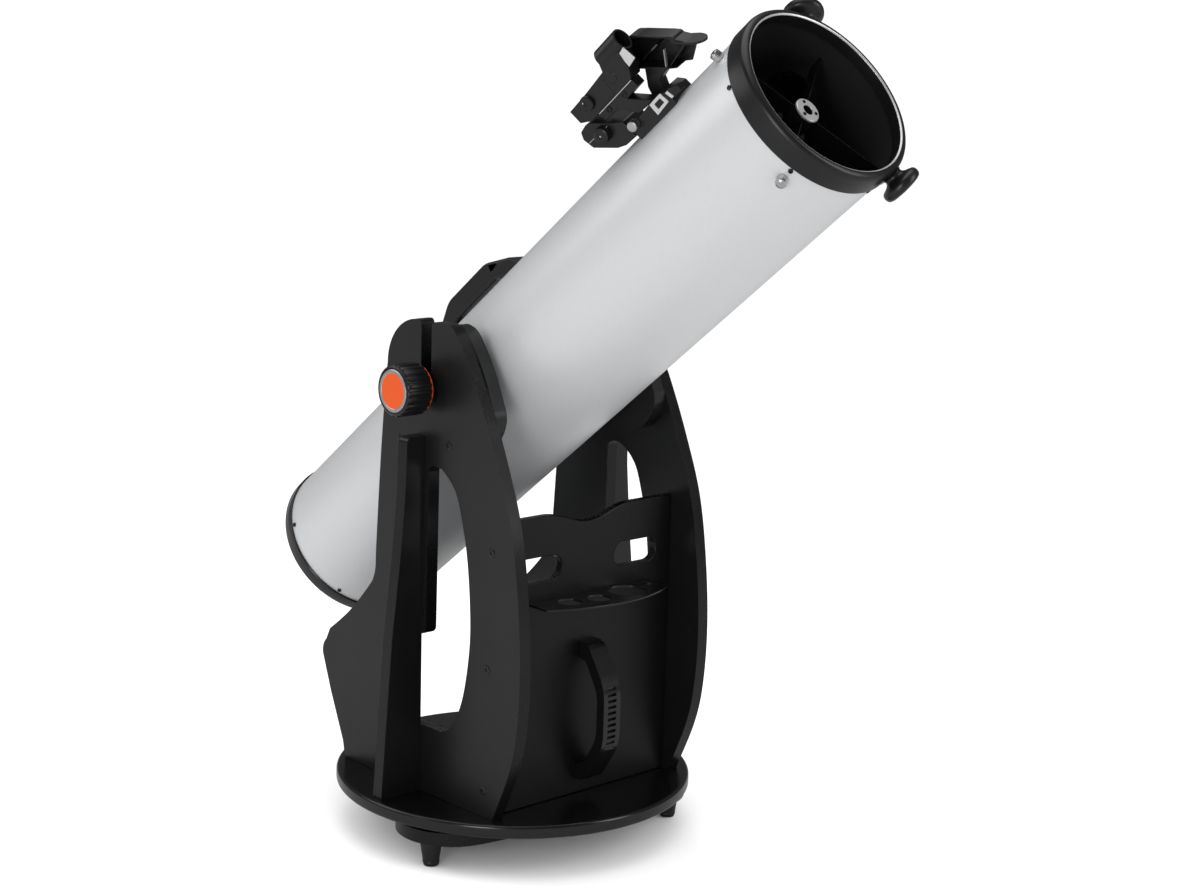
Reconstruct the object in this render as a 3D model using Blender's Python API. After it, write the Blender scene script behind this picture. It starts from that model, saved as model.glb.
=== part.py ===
"""Dobsonian reflecting telescope: a Newtonian tube on a rocker that turns on a three-footed ground board.

The file models every separate piece in metres with +Z up. The telescope faces -Y, the altitude axis runs
along X, and the whole object stands on the floor at z = 0.
"""

import math

import bmesh
import bpy
from mathutils import Matrix, Vector

# ---- driving dimensions (metres) ----
GAP = 0.0003                      # air left between two pieces that touch
BOARD = 0.018                     # thickness of every laminated board
AXIS_Y = 0.076890                 # azimuth axis, behind the centre of the footprint

BASE_RADIUS = 0.2445              # round board that the rocker stands on
FOOT_HEIGHT = 0.0352
FOOT_CIRCLE = 0.218
FOOT_BEARING = math.radians(200)  # first foot, the others follow at 120 degrees
LOBE_CIRCLE = 0.165               # centres of the ground board's three round lobes
LOBE_RADIUS = 0.075
PAD_HEIGHT = 0.0024
PAD_CIRCLE = 0.170

TUBE_HEIGHT = 0.610               # tube frame's origin above the floor
PIVOT_PLACE = 0.011               # altitude axis, along the tube from that origin
PIVOT_RISE = 0.004                # and above the tube's own axis
ALTITUDE = math.radians(38.1)     # how far the tube points above the horizon as modelled
PANEL_INNER = 0.151               # inner face of each side panel, from the middle
FRONT_FACE = -0.142               # front board's front face
FRONT_BOARD = 0.012               # front board is thinner, so that the tube clears it when upright
FRONT_TOP = 0.463
RACK_TOP = 0.352

TUBE_RADIUS = 0.116
TUBE_WALL = 0.0012
TUBE_FRONT = 0.652                # distances along the tube are from its frame's origin, + to the sky
TUBE_REAR = -0.467
RING_RADIUS = 0.1187
VANE_PLACE = 0.6015
VANE_BEARING = math.radians(45)
HUB_RADIUS = 0.0165
MIRROR_RADIUS = 0.1015
FOCAL_LENGTH = 1.2
SECONDARY_RADIUS = 0.0235
SECONDARY_PLACE = 0.545
BEARING_RADIUS = 0.030            # altitude bearing's hub
KNOB_RADIUS = 0.034
KNOB_NECK = 0.012                 # bare neck between the side panel and the knob's ribbed body
KNOB_LENGTH = 0.054
FOCUSER_BEARING = math.radians(45)
FINDER_BEARING = math.radians(-28)
FINDER_SIDE = -0.0235             # finder's middle, beside the finder group's own middle
DOCK_SIDE = 0.005                 # phone dock's middle, on the other side
DOCK_TILT = math.radians(42)      # phone dock's slope against the tube
DRIVE_OFFSET = 0.052              # focuser's axle, beside the drawtube's axis and above the tube's axis
DRIVE_HEIGHT = 0.141

GROUND_LOW = FOOT_HEIGHT + GAP
GROUND_TOP = GROUND_LOW + BOARD
BASE_LOW = GROUND_TOP + PAD_HEIGHT + 2 * GAP
BASE_TOP = BASE_LOW + BOARD
PANEL_LOW = BASE_TOP + GAP
PANEL_OUTER = PANEL_INNER + BOARD
TUBE_INNER = TUBE_RADIUS - TUBE_WALL
BOLT_RADIUS = 0.005
PIVOT_Y = PIVOT_RISE * math.sin(ALTITUDE) - PIVOT_PLACE * math.cos(ALTITUDE)
PIVOT_Z = TUBE_HEIGHT + PIVOT_RISE * math.cos(ALTITUDE) + PIVOT_PLACE * math.sin(ALTITUDE)
FULL_TURN = 2 * math.pi


# ---- materials ----
def material(name, colour, roughness, metallic=0.0):
    """Principled material from a colour, a roughness and a metallic value."""
    made = bpy.data.materials.new(name)
    made.use_nodes = True
    shader = made.node_tree.nodes["Principled BSDF"]
    shader.inputs["Base Color"].default_value = (*colour, 1.0)
    shader.inputs["Roughness"].default_value = roughness
    shader.inputs["Metallic"].default_value = metallic
    return made


def make_materials():
    """All finishes of the telescope by name."""
    return {
        "laminate": material("black_laminate", (0.018, 0.018, 0.019), 0.42),
        "plastic": material("black_plastic", (0.02, 0.02, 0.021), 0.5),
        "black_metal": material("black_metal", (0.015, 0.015, 0.016), 0.4, 0.3),
        "silver": material("silver_paint", (0.62, 0.63, 0.65), 0.3, 0.55),
        "chrome": material("chrome", (0.75, 0.75, 0.76), 0.15, 1.0),
        "steel": material("spring_steel", (0.5, 0.5, 0.5), 0.35, 1.0),
        "rubber": material("black_rubber", (0.02, 0.02, 0.02), 0.8),
        "teflon": material("white_glide", (0.85, 0.85, 0.83), 0.4),
        "mirror": material("mirror_coating", (0.93, 0.94, 0.95), 0.02, 1.0),
        "glass": material("coated_glass", (0.35, 0.4, 0.45), 0.05),
    }


# ---- outlines ----
def arc(centre, radius, start, end, steps):
    """Points on an arc from start to end, both ends included."""
    turn = (end - start) / steps
    return [
        (centre[0] + radius * math.cos(start + turn * i), centre[1] + radius * math.sin(start + turn * i))
        for i in range(steps + 1)
    ]


def circle(centre, radius, steps):
    """Points round a full circle."""
    return arc(centre, radius, 0, FULL_TURN, steps)[:-1]


def rounded(corners, steps=4):
    """Outline through corners (a, b, radius), each corner with a radius replaced by an arc."""
    outline = []
    count = len(corners)
    for i, (a, b, radius) in enumerate(corners):
        here = Vector((a, b))
        if radius <= 0:
            outline.append((a, b))
            continue
        back = (Vector(corners[i - 1][:2]) - here).normalized()
        ahead = (Vector(corners[(i + 1) % count][:2]) - here).normalized()
        half = back.angle(ahead) / 2
        middle = here + (back + ahead).normalized() * radius / math.sin(half)
        first = here + back * radius / math.tan(half) - middle
        last = here + ahead * radius / math.tan(half) - middle
        sweep = first.angle_signed(last)
        for k in range(steps + 1):
            spoke = first.copy()
            spoke.rotate(Matrix.Rotation(-sweep * k / steps, 2))
            outline.append(tuple(middle + spoke))
    return outline


def smooth_run(points, steps):
    """Catmull-Rom curve through the points, with the given number of steps between neighbours."""
    padded = [points[0], *points, points[-1]]
    run = []
    for p0, p1, p2, p3 in zip(padded, padded[1:], padded[2:], padded[3:]):
        for k in range(steps):
            t = k / steps
            run.append(tuple(
                0.5 * (2 * b + (c - a) * t + (2 * a - 5 * b + 4 * c - d) * t**2 + (3 * b - a - 3 * c + d) * t**3)
                for a, b, c, d in zip(p0, p1, p2, p3)
            ))
    return [*run, points[-1]]


# ---- solids ----
def empty(name, parent=None, location=(0, 0, 0), rotation=(0, 0, 0)):
    """Frame that pieces are parented to."""
    made = bpy.data.objects.new(name, None)
    bpy.context.collection.objects.link(made)
    made.location = location
    made.rotation_euler = rotation
    made.parent = parent
    return made


def finish(name, shape, finish_name, parent, location=(0, 0, 0), rotation=(0, 0, 0), smooth=True):
    """Turns a bmesh into a named object with its material, outward faces and smooth round sides."""
    bmesh.ops.recalc_face_normals(shape, faces=shape.faces)
    mesh = bpy.data.meshes.new(name)
    shape.to_mesh(mesh)
    shape.free()
    if smooth:
        mesh.shade_smooth()
        mesh.set_sharp_from_angle(angle=math.radians(35))
    made = bpy.data.objects.new(name, mesh)
    bpy.context.collection.objects.link(made)
    if finish_name:
        mesh.materials.append(MATERIALS[finish_name])
    made.location = location
    made.rotation_euler = rotation
    made.parent = parent
    return made


def turned(name, profile, finish_name, parent, segments=32, **place):
    """Solid of revolution about local Z from a closed profile of (radius, height) points."""
    shape = bmesh.new()
    rings = []
    for radius, height in profile:
        if radius <= 0:
            rings.append([shape.verts.new((0, 0, height))])
            continue
        rings.append([shape.verts.new((*spot, height)) for spot in circle((0, 0), radius, segments)])
    for here, ahead in zip(rings, rings[1:] + rings[:1]):
        for i in range(segments):
            j = (i + 1) % segments
            corners = (here[i % len(here)], here[j % len(here)], ahead[j % len(ahead)], ahead[i % len(ahead)])
            face = list(dict.fromkeys(corners))
            if len(face) > 2:
                shape.faces.new(face)
    return finish(name, shape, finish_name, parent, **place)


PLANES = {
    "X": lambda a, b, depth: (depth, a, b),
    "Y": lambda a, b, depth: (a, depth, b),
    "Z": lambda a, b, depth: (a, b, depth),
}


def plate(name, outline, low, high, along, finish_name, parent, holes=(), **place):
    """Flat piece: an outline with holes, filled and extruded from low to high along X, Y or Z."""
    shape = bmesh.new()
    spot = PLANES[along]
    edges = []
    for loop in (outline, *holes):
        corners = [shape.verts.new(spot(a, b, low)) for a, b in loop]
        edges += [shape.edges.new(pair) for pair in zip(corners, corners[1:] + corners[:1])]
    bmesh.ops.triangle_fill(shape, edges=edges, use_beauty=True)
    grown = bmesh.ops.extrude_face_region(shape, geom=list(shape.faces))["geom"]
    lifted = [item for item in grown if isinstance(item, bmesh.types.BMVert)]
    bmesh.ops.translate(shape, verts=lifted, vec=spot(0, 0, high - low))
    return finish(name, shape, finish_name, parent, **place)


def boolean(target, cutter, operation):
    """Adds an exact Boolean to target and hides its cutter."""
    step = target.modifiers.new(operation.lower(), "BOOLEAN")
    step.operation = operation
    step.solver = "EXACT"
    step.object = cutter
    cutter.hide_render = True
    cutter.display_type = "WIRE"


def slanted(name, radius, low, high, toward, finish_name, parent, neck=(), segments=32):
    """Rod about local Z whose low end, and high end if neck is empty, slope at 45 degrees toward a bearing."""
    shape = bmesh.new()
    spots = circle((0, 0), radius, segments)
    lean = [x * math.sin(toward) + y * math.cos(toward) for x, y in spots]
    rings = [[shape.verts.new((x, y, low + rise)) for (x, y), rise in zip(spots, lean)]]
    if neck:
        for neck_radius, height in neck:
            rings.append([shape.verts.new((*spot, height)) for spot in circle((0, 0), neck_radius, segments)])
    else:
        rings.append([shape.verts.new((x, y, high + rise)) for (x, y), rise in zip(spots, lean)])
    for here, ahead in zip(rings, rings[1:]):
        for i in range(segments):
            j = (i + 1) % segments
            shape.faces.new((here[i], here[j], ahead[j], ahead[i]))
    shape.faces.new(rings[0])
    shape.faces.new(rings[-1])
    return finish(name, shape, finish_name, parent)


# ---- ground board ----
def make_ground(root):
    """Three feet, the lobed ground board, its glide pads and the azimuth bolt."""
    lobes = []
    for i in range(3):
        bearing = FOOT_BEARING + i * FULL_TURN / 3
        centre = (LOBE_CIRCLE * math.cos(bearing), LOBE_CIRCLE * math.sin(bearing))
        lobes += arc(centre, LOBE_RADIUS, bearing - math.radians(60), bearing + math.radians(60), 12)
        turned(f"foot_{i + 1}", [
            (0, 0), (0.0088, 0), (0.0100, 0.0015), (0.0145, FOOT_HEIGHT - 0.003), (0.0145, FOOT_HEIGHT),
            (0, FOOT_HEIGHT),
        ], "rubber", root, 20, location=(FOOT_CIRCLE * math.cos(bearing), FOOT_CIRCLE * math.sin(bearing), 0))
        turned(f"glide_pad_{i + 1}", [
            (0, 0), (0.0125, 0), (0.0125, PAD_HEIGHT), (0, PAD_HEIGHT),
        ], "teflon", root, 16, location=(
            PAD_CIRCLE * math.cos(bearing), PAD_CIRCLE * math.sin(bearing), GROUND_TOP + GAP,
        ))
    bore = circle((0, 0), BOLT_RADIUS + GAP, 16)
    plate("ground_board", lobes, GROUND_LOW, GROUND_TOP, "Z", "laminate", root, [bore])
    bolt_top = BASE_TOP + 0.014
    turned("azimuth_bolt", [
        (0, GROUND_LOW - 0.007), (0.011, GROUND_LOW - 0.005), (0.011, GROUND_LOW - GAP),
        (BOLT_RADIUS, GROUND_LOW - GAP), (BOLT_RADIUS, bolt_top), (0, bolt_top),
    ], "chrome", root, 16)
    nut = circle((0, 0), 0.0095, 6)
    plate("azimuth_nut", nut, BASE_TOP + GAP, BASE_TOP + 0.009, "Z", "chrome", root, [bore])


# ---- rocker ----
def slot_sides(half_width, top):
    """Open slot from the top edge down to the altitude axis, from its rear lip to its front lip, lips rounded."""
    lip = 0.006
    rear = PIVOT_Y + half_width
    front = PIVOT_Y - half_width
    return [
        *arc((rear + lip, top - lip), lip, math.pi / 2, math.pi, 4),
        *arc((PIVOT_Y, PIVOT_Z), half_width, 0, -math.pi, 8),
        *arc((front - lip, top - lip), lip, 0, math.pi / 2, 4),
    ]


def panel_outline():
    """Side panel in the YZ plane: a bowed front edge, a stepped rear edge and an open slot for the knob's bolt."""
    top_rear = arc((0.012, 0.644), 0.0625, 0, math.radians(86), 7)
    slot = slot_sides(0.0105, 0.7062)
    front = smooth_run([
        (-0.044, 0.7062), (-0.060, 0.7015), (-0.080, 0.677), (-0.115, 0.616), (-0.150, 0.541), (-0.179, 0.463),
        (-0.195, 0.372), (-0.2015, 0.285), (-0.1975, 0.205), (-0.184, 0.146), (-0.153, PANEL_LOW),
    ], 4)
    rear = [(0.163, PANEL_LOW), (0.168, 0.098), (0.197, 0.163)]
    hip = arc((0.194, 0.2185), 0.0225, math.radians(-25), math.radians(50), 5)
    waist = smooth_run([
        (0.200, 0.2525), (0.158, 0.285), (0.118, 0.3245), (0.099, 0.352), (0.0955, 0.398), (0.087, 0.523),
        (0.0765, 0.632),
    ], 2)
    return [*top_rear, *slot, *front, *rear, *hip, *waist]


def window_outline():
    """Tall bowed window; below the step its rear side lies further back."""
    front = smooth_run([
        (-0.041, 0.518), (-0.062, 0.502), (-0.077, 0.477), (-0.094, 0.415), (-0.1025, 0.340), (-0.1015, 0.285),
        (-0.089, 0.220), (-0.068, 0.180), (-0.047, 0.167),
    ], 3)
    rear = rounded([
        (-0.040, 0.1665, 0), (0.032, 0.1665, 0.012), (0.032, 0.286, 0.010), (-0.0125, 0.292, 0.010),
        (-0.0145, 0.519, 0.010), (-0.036, 0.519, 0),
    ])
    return [*front, *rear]


def make_boards(rocker):
    """Base disc, side panels, outer braces, front board and bearing cradles."""
    bore = circle((0, 0), BOLT_RADIUS + GAP, 16)
    plate("azimuth_board", circle((0, 0), BASE_RADIUS, 72), BASE_LOW, BASE_TOP, "Z", "laminate", rocker, [bore])

    brace_inner = PANEL_OUTER + GAP
    brace = [
        (brace_inner, PANEL_LOW), (0.2343, PANEL_LOW), (0.2190, 0.290), (0.2068, 0.396), (0.1998, 0.475),
        *arc((0.1900, 0.5490), 0.0075, 0, math.pi / 2, 4), (brace_inner, 0.5565),
    ]
    cradle = [
        *slot_sides(BEARING_RADIUS + 0.001, 0.7040),
        *smooth_run([(-0.050, 0.7030), (-0.062, 0.6980), (-0.075, 0.6850), (-0.100, 0.6470), (-0.1225, 0.600)], 3),
        *smooth_run([(-0.1235, 0.588), (-0.117, 0.570), (-0.100, 0.552), (-0.070, 0.545)], 3),
        *rounded([
            (-0.060, 0.545, 0), (0.058, 0.545, 0.015), (0.070, 0.640, 0.02), (0.058, 0.690, 0.02),
            (0.037, 0.7035, 0),
        ]),
    ]
    for side, sign in (("left", -1), ("right", 1)):
        low, high = sorted((sign * PANEL_INNER, sign * PANEL_OUTER))
        plate(f"side_panel_{side}", panel_outline(), low, high, "X", "laminate", rocker, [window_outline()])
        mirrored = [(sign * a, b) for a, b in brace]
        plate(f"brace_{side}", mirrored, -0.005, -0.005 + BOARD, "Y", "laminate", rocker)
        low, high = sorted((sign * 0.131, sign * (PANEL_INNER - GAP)))
        plate(f"bearing_cradle_{side}", cradle, low, high, "X", "plastic", rocker)

    half = PANEL_INNER - GAP
    dip = [
        (half * k / 12, FRONT_TOP - 0.008 - 0.008 * math.cos(min(1, abs(k) / 6) * math.pi))
        for k in range(12, -13, -1)
    ]
    slots = []
    for sign in (-1, 1):
        middle = sign * 0.0855
        slots.append([
            *arc((middle + 0.0225, 0.393), 0.016, -math.pi / 2, math.pi / 2, 6),
            *arc((middle - 0.0225, 0.393), 0.016, math.pi / 2, 1.5 * math.pi, 6),
        ])
    front = [(-half, PANEL_LOW), (half, PANEL_LOW), *dip]
    plate("front_board", front, FRONT_FACE, FRONT_FACE + FRONT_BOARD, "Y", "laminate", rocker, slots)


def make_front_fittings(rocker):
    """Bow-fronted eyepiece rack and the grab handle below it."""
    back = FRONT_FACE - GAP
    bow_radius = 0.2235
    bow_centre = -0.2125 + bow_radius
    reach = math.asin(0.110 / bow_radius)
    bow = arc((0, bow_centre), bow_radius, -math.pi / 2 - reach, -math.pi / 2 + reach, 14)
    holes = [circle((x, y), radius, 24) for x, y, radius in (
        (-0.0585, -0.170, 0.016), (-0.0140, -0.178, 0.016), (0.0430, -0.172, 0.0255), (0.0915, -0.166, 0.004),
    )]
    rack = [(-0.110, back), *bow, (0.110, back)]
    plate("eyepiece_rack", rack, RACK_TOP - 0.003, RACK_TOP, "Z", "black_metal", rocker, holes)

    grip = rounded([
        (back, 0.096, 0), (-0.160, 0.096, 0.020), (-0.195, 0.150, 0.070), (-0.195, 0.232, 0.070),
        (-0.160, 0.286, 0.020), (back, 0.286, 0), (back, 0.264, 0), (-0.157, 0.262, 0.012),
        (-0.1815, 0.222, 0.050), (-0.1815, 0.160, 0.050), (-0.157, 0.120, 0.012), (back, 0.118, 0),
    ], 5)
    plate("grab_handle", grip, -0.015, 0.015, "X", "plastic", rocker)


# ---- tube ----
def make_tube(tube):
    """Tube shell with its end rings, the tube handle and the two steering grips."""
    shell = turned("tube_shell", [
        (TUBE_RADIUS, TUBE_REAR + 0.007), (TUBE_RADIUS, TUBE_FRONT - 0.0165), (TUBE_INNER, TUBE_FRONT - 0.0165),
        (TUBE_INNER, TUBE_REAR + 0.007),
    ], "silver", tube, 64)
    for i in range(4):
        bearing = VANE_BEARING + i * FULL_TURN / 4
        boolean(shell, radial_cutter(f"vane_hole_{i + 1}", tube, bearing, VANE_PLACE, 0.003, 12), "DIFFERENCE")
    boolean(shell, radial_cutter("light_hole", tube, FOCUSER_BEARING, SECONDARY_PLACE, 0.028, 32), "DIFFERENCE")

    sleeve = TUBE_RADIUS + 0.0004
    lip = TUBE_FRONT - 0.0162
    turned("front_ring", [
        (RING_RADIUS, 0.6210), (RING_RADIUS, 0.6450), (RING_RADIUS - 0.0016, 0.6490), (RING_RADIUS - 0.0045, 0.6515),
        (0.1105, TUBE_FRONT), (0.1078, 0.6500), (0.1078, lip), (sleeve, lip), (sleeve, 0.6210),
    ], "plastic", tube, 64)
    rim = TUBE_REAR + 0.0067
    turned("rear_ring", [
        (RING_RADIUS, -0.4464), (sleeve, -0.4464), (sleeve, rim), (0.104, rim), (0.104, TUBE_REAR),
        (RING_RADIUS - 0.003, TUBE_REAR), (RING_RADIUS, TUBE_REAR + 0.004),
    ], "plastic", tube, 64)

    foot = TUBE_RADIUS + GAP
    bow = rounded([
        (foot, -0.100, 0), (0.140, -0.086, 0.02), (0.161, -0.048, 0.04), (0.161, 0.048, 0.04),
        (0.140, 0.096, 0.02), (foot, 0.118, 0), (foot, 0.082, 0), (0.1305, 0.056, 0.012),
        (0.1305, -0.046, 0.012), (foot, -0.068, 0),
    ])
    plate("tube_handle", bow, -0.018, 0.018, "X", "plastic", tube)

    for i, bearing in enumerate((math.radians(24), math.radians(150))):
        stand = empty(f"grip_frame_{i + 1}", tube, (0, 0, 0.6345), (0, 0, -bearing))
        turned(f"steering_grip_{i + 1}", [
            (0, 0), (0.0125, 0), (0.0105, 0.003), (0.0115, 0.007), (0.0165, 0.0110), (0.0232, 0.0140),
            (0.0247, 0.0165), (0.0240, 0.0200), (0.0205, 0.0225), (0.0130, 0.0238), (0, 0.0243),
        ], "plastic", stand, 24, location=(0, RING_RADIUS + GAP, 0), rotation=(-math.pi / 2, 0, 0))


def radial_cutter(name, parent, bearing, place, radius, segments):
    """Cylinder that points outward from the tube's axis at a bearing."""
    cutter = turned(name, [(0, 0.09), (radius, 0.09), (radius, 0.14), (0, 0.14)], None, parent, segments)
    cutter.matrix_local = (
        Matrix.Translation((0, 0, place)) @ Matrix.Rotation(-bearing, 4, "Z") @ Matrix.Rotation(-math.pi / 2, 4, "X")
    )
    return cutter


def tube_cutter(name, parent):
    """Solid cylinder a gap wider than the tube, for saddles."""
    radius = TUBE_RADIUS + GAP
    return turned(name, [(0, -0.1), (radius, -0.1), (radius, 0.68), (0, 0.68)], None, parent, 64)


def make_mirrors(tube):
    """Mirror cell with its springs and collimation knobs, the primary mirror, and the secondary on its spider."""
    cell_low = TUBE_REAR + 0.0075
    cell_high = cell_low + 0.006
    back = cell_high + 0.016
    vents = [circle((0.038 * math.cos(a), 0.038 * math.sin(a)), 0.014, 16) for a in (0, 2.0944, 4.1888)]
    stands = []
    for i in range(3):
        bearing = math.radians(30 + 120 * i)
        stands.append((0.078 * math.sin(bearing), 0.078 * math.cos(bearing)))
    holes = vents + [circle(spot, 0.0035, 12) for spot in stands]
    plate("mirror_cell", circle((0, 0), TUBE_INNER - 0.001, 48), cell_low, cell_high, "Z", "black_metal", tube, holes)
    face = back + 0.022
    dish = [
        (MIRROR_RADIUS * k / 4, face - (MIRROR_RADIUS**2 - (MIRROR_RADIUS * k / 4)**2) / (4 * FOCAL_LENGTH))
        for k in range(5)
    ]
    turned("primary_mirror", [(0, back), (MIRROR_RADIUS, back), *reversed(dish)], "mirror", tube, 48)
    for i, (x, y) in enumerate(stands):
        make_spring(f"collimation_spring_{i + 1}", tube, (x, y), cell_high + GAP, back - GAP)
        frame = empty(f"collimation_axis_{i + 1}", tube, (x, y, cell_low - GAP))
        turned(f"collimation_knob_{i + 1}", [
            (0, -0.016), (0.0095, -0.016), (0.0105, -0.0145), (0.0105, -0.0015), (0.0095, 0), (0.0028, 0),
            (0.0028, 0.018), (0, 0.018),
        ], "plastic", frame, 16)

    hub = turned("spider", [
        (0, 0.586), (0.013, 0.586), (HUB_RADIUS, 0.590), (HUB_RADIUS, 0.615), (0.0155, 0.617), (0, 0.617),
    ], "black_metal", tube, 24)
    reach = TUBE_INNER - 0.0012
    for i in range(2):
        vane = [(-reach, -0.0005), (reach, -0.0005), (reach, 0.0005), (-reach, 0.0005)]
        cutter = plate(
            f"vane_pair_{i + 1}", vane, VANE_PLACE - 0.009, VANE_PLACE + 0.009, "Z", None, tube,
            rotation=(0, 0, math.pi / 4 + i * math.pi / 2),
        )
        boolean(hub, cutter, "UNION")
    for i in range(4):
        bearing = VANE_BEARING + i * FULL_TURN / 4
        frame = empty(f"vane_nut_frame_{i + 1}", tube, (0, 0, VANE_PLACE), (0, 0, -bearing))
        turned(f"vane_nut_{i + 1}", [
            (0, -0.0018), (0.0022, -0.0018), (0.0022, 0), (0.0068, 0), (0.0068, 0.0095), (0.0055, 0.0110),
            (0, 0.0110),
        ], "chrome", frame, 16, location=(0, TUBE_RADIUS + GAP, 0), rotation=(-math.pi / 2, 0, 0))
    glass = 0.008 * math.sqrt(2)
    slanted(
        "secondary_mirror", SECONDARY_RADIUS, SECONDARY_PLACE, SECONDARY_PLACE + glass, FOCUSER_BEARING, "mirror", tube,
    )
    slanted(
        "secondary_holder", SECONDARY_RADIUS - 0.001, SECONDARY_PLACE + glass + 2 * GAP, 0, FOCUSER_BEARING,
        "black_metal", tube, [(SECONDARY_RADIUS - 0.001, 0.5815), (0.005, 0.5815), (0.005, 0.586 - GAP)],
    )


def make_spring(name, parent, spot, low, high):
    """Short compression spring: a round wire along a helix."""
    coils = 3
    steps = 10
    wire = 0.0008
    curve = bpy.data.curves.new(name, "CURVE")
    curve.dimensions = "3D"
    curve.bevel_depth = wire
    curve.bevel_resolution = 0
    curve.use_fill_caps = True
    line = curve.splines.new("POLY")
    line.points.add(coils * steps)
    for k, point in enumerate(line.points):
        turn = FULL_TURN * k / steps
        height = low + wire + (high - low - 2 * wire) * k / (coils * steps)
        point.co = (spot[0] + 0.006 * math.cos(turn), spot[1] + 0.006 * math.sin(turn), height, 1)
    curve.materials.append(MATERIALS["steel"])
    made = bpy.data.objects.new(name, curve)
    bpy.context.collection.objects.link(made)
    made.parent = parent


def make_bearings(tube):
    """Altitude bearings on the tube's sides and their tension knobs, all on the altitude axis."""
    flange = 0.1285
    hub_end = PANEL_INNER - 0.0008
    for side, sign in (("left", -1), ("right", 1)):
        turn = (0, sign * math.pi / 2, 0)
        axis = empty(f"altitude_axis_{side}", tube, (0, PIVOT_RISE, PIVOT_PLACE), turn)
        bearing = turned(f"altitude_bearing_{side}", [
            (0, 0.095), (0.044, 0.095), (0.044, flange), (BEARING_RADIUS, flange), (BEARING_RADIUS, hub_end),
            (0.0068, hub_end), (0.0068, 0.138), (0, 0.138),
        ], "plastic", axis, 40)
        boolean(bearing, tube_cutter(f"saddle_{side}", tube), "DIFFERENCE")
        base = PANEL_OUTER + GAP
        turned(f"tension_knob_{side}", [
            (0, 0.140), (0.006, 0.140), (0.006, base), (0.0200, base), (0.0200, base + KNOB_NECK),
            (KNOB_RADIUS - 0.003, base + KNOB_NECK), (KNOB_RADIUS, base + KNOB_NECK + 0.003),
            (KNOB_RADIUS, base + KNOB_LENGTH - 0.003), (KNOB_RADIUS - 0.003, base + KNOB_LENGTH),
            (0, base + KNOB_LENGTH),
        ], "plastic", axis, 32)


# ---- focuser ----
def make_focuser(tube):
    """Focuser on the far side of the tube: base, drawtube, drive knobs, clamp screw and eyepiece."""
    frame = empty("focuser_frame", tube)
    frame.matrix_local = (
        Matrix.Translation((0, 0, SECONDARY_PLACE))
        @ Matrix.Rotation(-FOCUSER_BEARING, 4, "Z")
        @ Matrix.Rotation(-math.pi / 2, 4, "X")
    )
    foot = rounded([
        (-0.036, -0.040, 0.008), (0.036, -0.040, 0.008), (0.036, 0.040, 0.008), (-0.036, 0.040, 0.008),
    ])
    base = plate("focuser_base", foot, 0.100, 0.122, "Z", "plastic", frame)
    barrel = turned("focuser_barrel", [(0, 0.104), (0.0345, 0.104), (0.0345, 0.163), (0, 0.163)], None, frame, 32)
    drive_box = plate("focuser_drive_box", [
        (-0.020, 0.026), (0.020, 0.026), (0.020, 0.060), (-0.020, 0.060),
    ], 0.118, 0.150, "Z", None, frame)
    bore = turned("focuser_bore", [(0, 0.09), (0.0289, 0.09), (0.0289, 0.18), (0, 0.18)], None, frame, 32)
    axle_bore = turned("focus_axle_bore", [(0, -0.05), (0.0043, -0.05), (0.0043, 0.05), (0, 0.05)], None, frame, 16)
    axle_bore.matrix_local = Matrix.Translation((0, DRIVE_OFFSET, DRIVE_HEIGHT)) @ Matrix.Rotation(math.pi / 2, 4, "Y")
    saddle = turned("focuser_saddle", [
        (0, -0.1), (TUBE_RADIUS + GAP, -0.1), (TUBE_RADIUS + GAP, 0.1), (0, 0.1),
    ], None, frame, 64)
    saddle.matrix_local = Matrix.Rotation(math.pi / 2, 4, "X")
    boolean(base, barrel, "UNION")
    boolean(base, drive_box, "UNION")
    boolean(base, bore, "DIFFERENCE")
    boolean(base, axle_bore, "DIFFERENCE")
    boolean(base, saddle, "DIFFERENCE")

    turned("focuser_drawtube", [
        (0.0282, 0.1185), (0.0282, 0.168), (0.0325, 0.168), (0.0325, 0.186), (0.0300, 0.188), (0.0163, 0.188),
        (0.0163, 0.162), (0.0262, 0.160), (0.0262, 0.1185),
    ], "chrome", frame, 32)
    turned("eyepiece", [
        (0.0158, 0.1635), (0.0158, 0.1888), (0.0190, 0.1888), (0.0200, 0.192), (0.0200, 0.214), (0.0175, 0.224),
        (0.0165, 0.232), (0.0120, 0.232), (0.0110, 0.227), (0, 0.227), (0, 0.1635),
    ], "plastic", frame, 24)
    clamp = turned("eyepiece_clamp_screw", [
        (0, 0.0328), (0.0060, 0.0328), (0.0060, 0.045), (0, 0.045),
    ], "chrome", frame, 14)
    clamp.matrix_local = Matrix.Translation((0, 0, 0.177)) @ Matrix.Rotation(-math.pi / 2, 4, "Y")
    knobs = turned("focus_knobs", [
        (0, -0.047), (0.0145, -0.047), (0.0160, -0.045), (0.0160, -0.029), (0.0145, -0.027), (0.004, -0.027),
        (0.004, 0.027), (0.0145, 0.027), (0.0160, 0.029), (0.0160, 0.045), (0.0145, 0.047), (0, 0.047),
    ], "black_metal", frame, 24)
    knobs.matrix_local = Matrix.Translation((0, DRIVE_OFFSET, DRIVE_HEIGHT)) @ Matrix.Rotation(math.pi / 2, 4, "Y")


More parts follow.
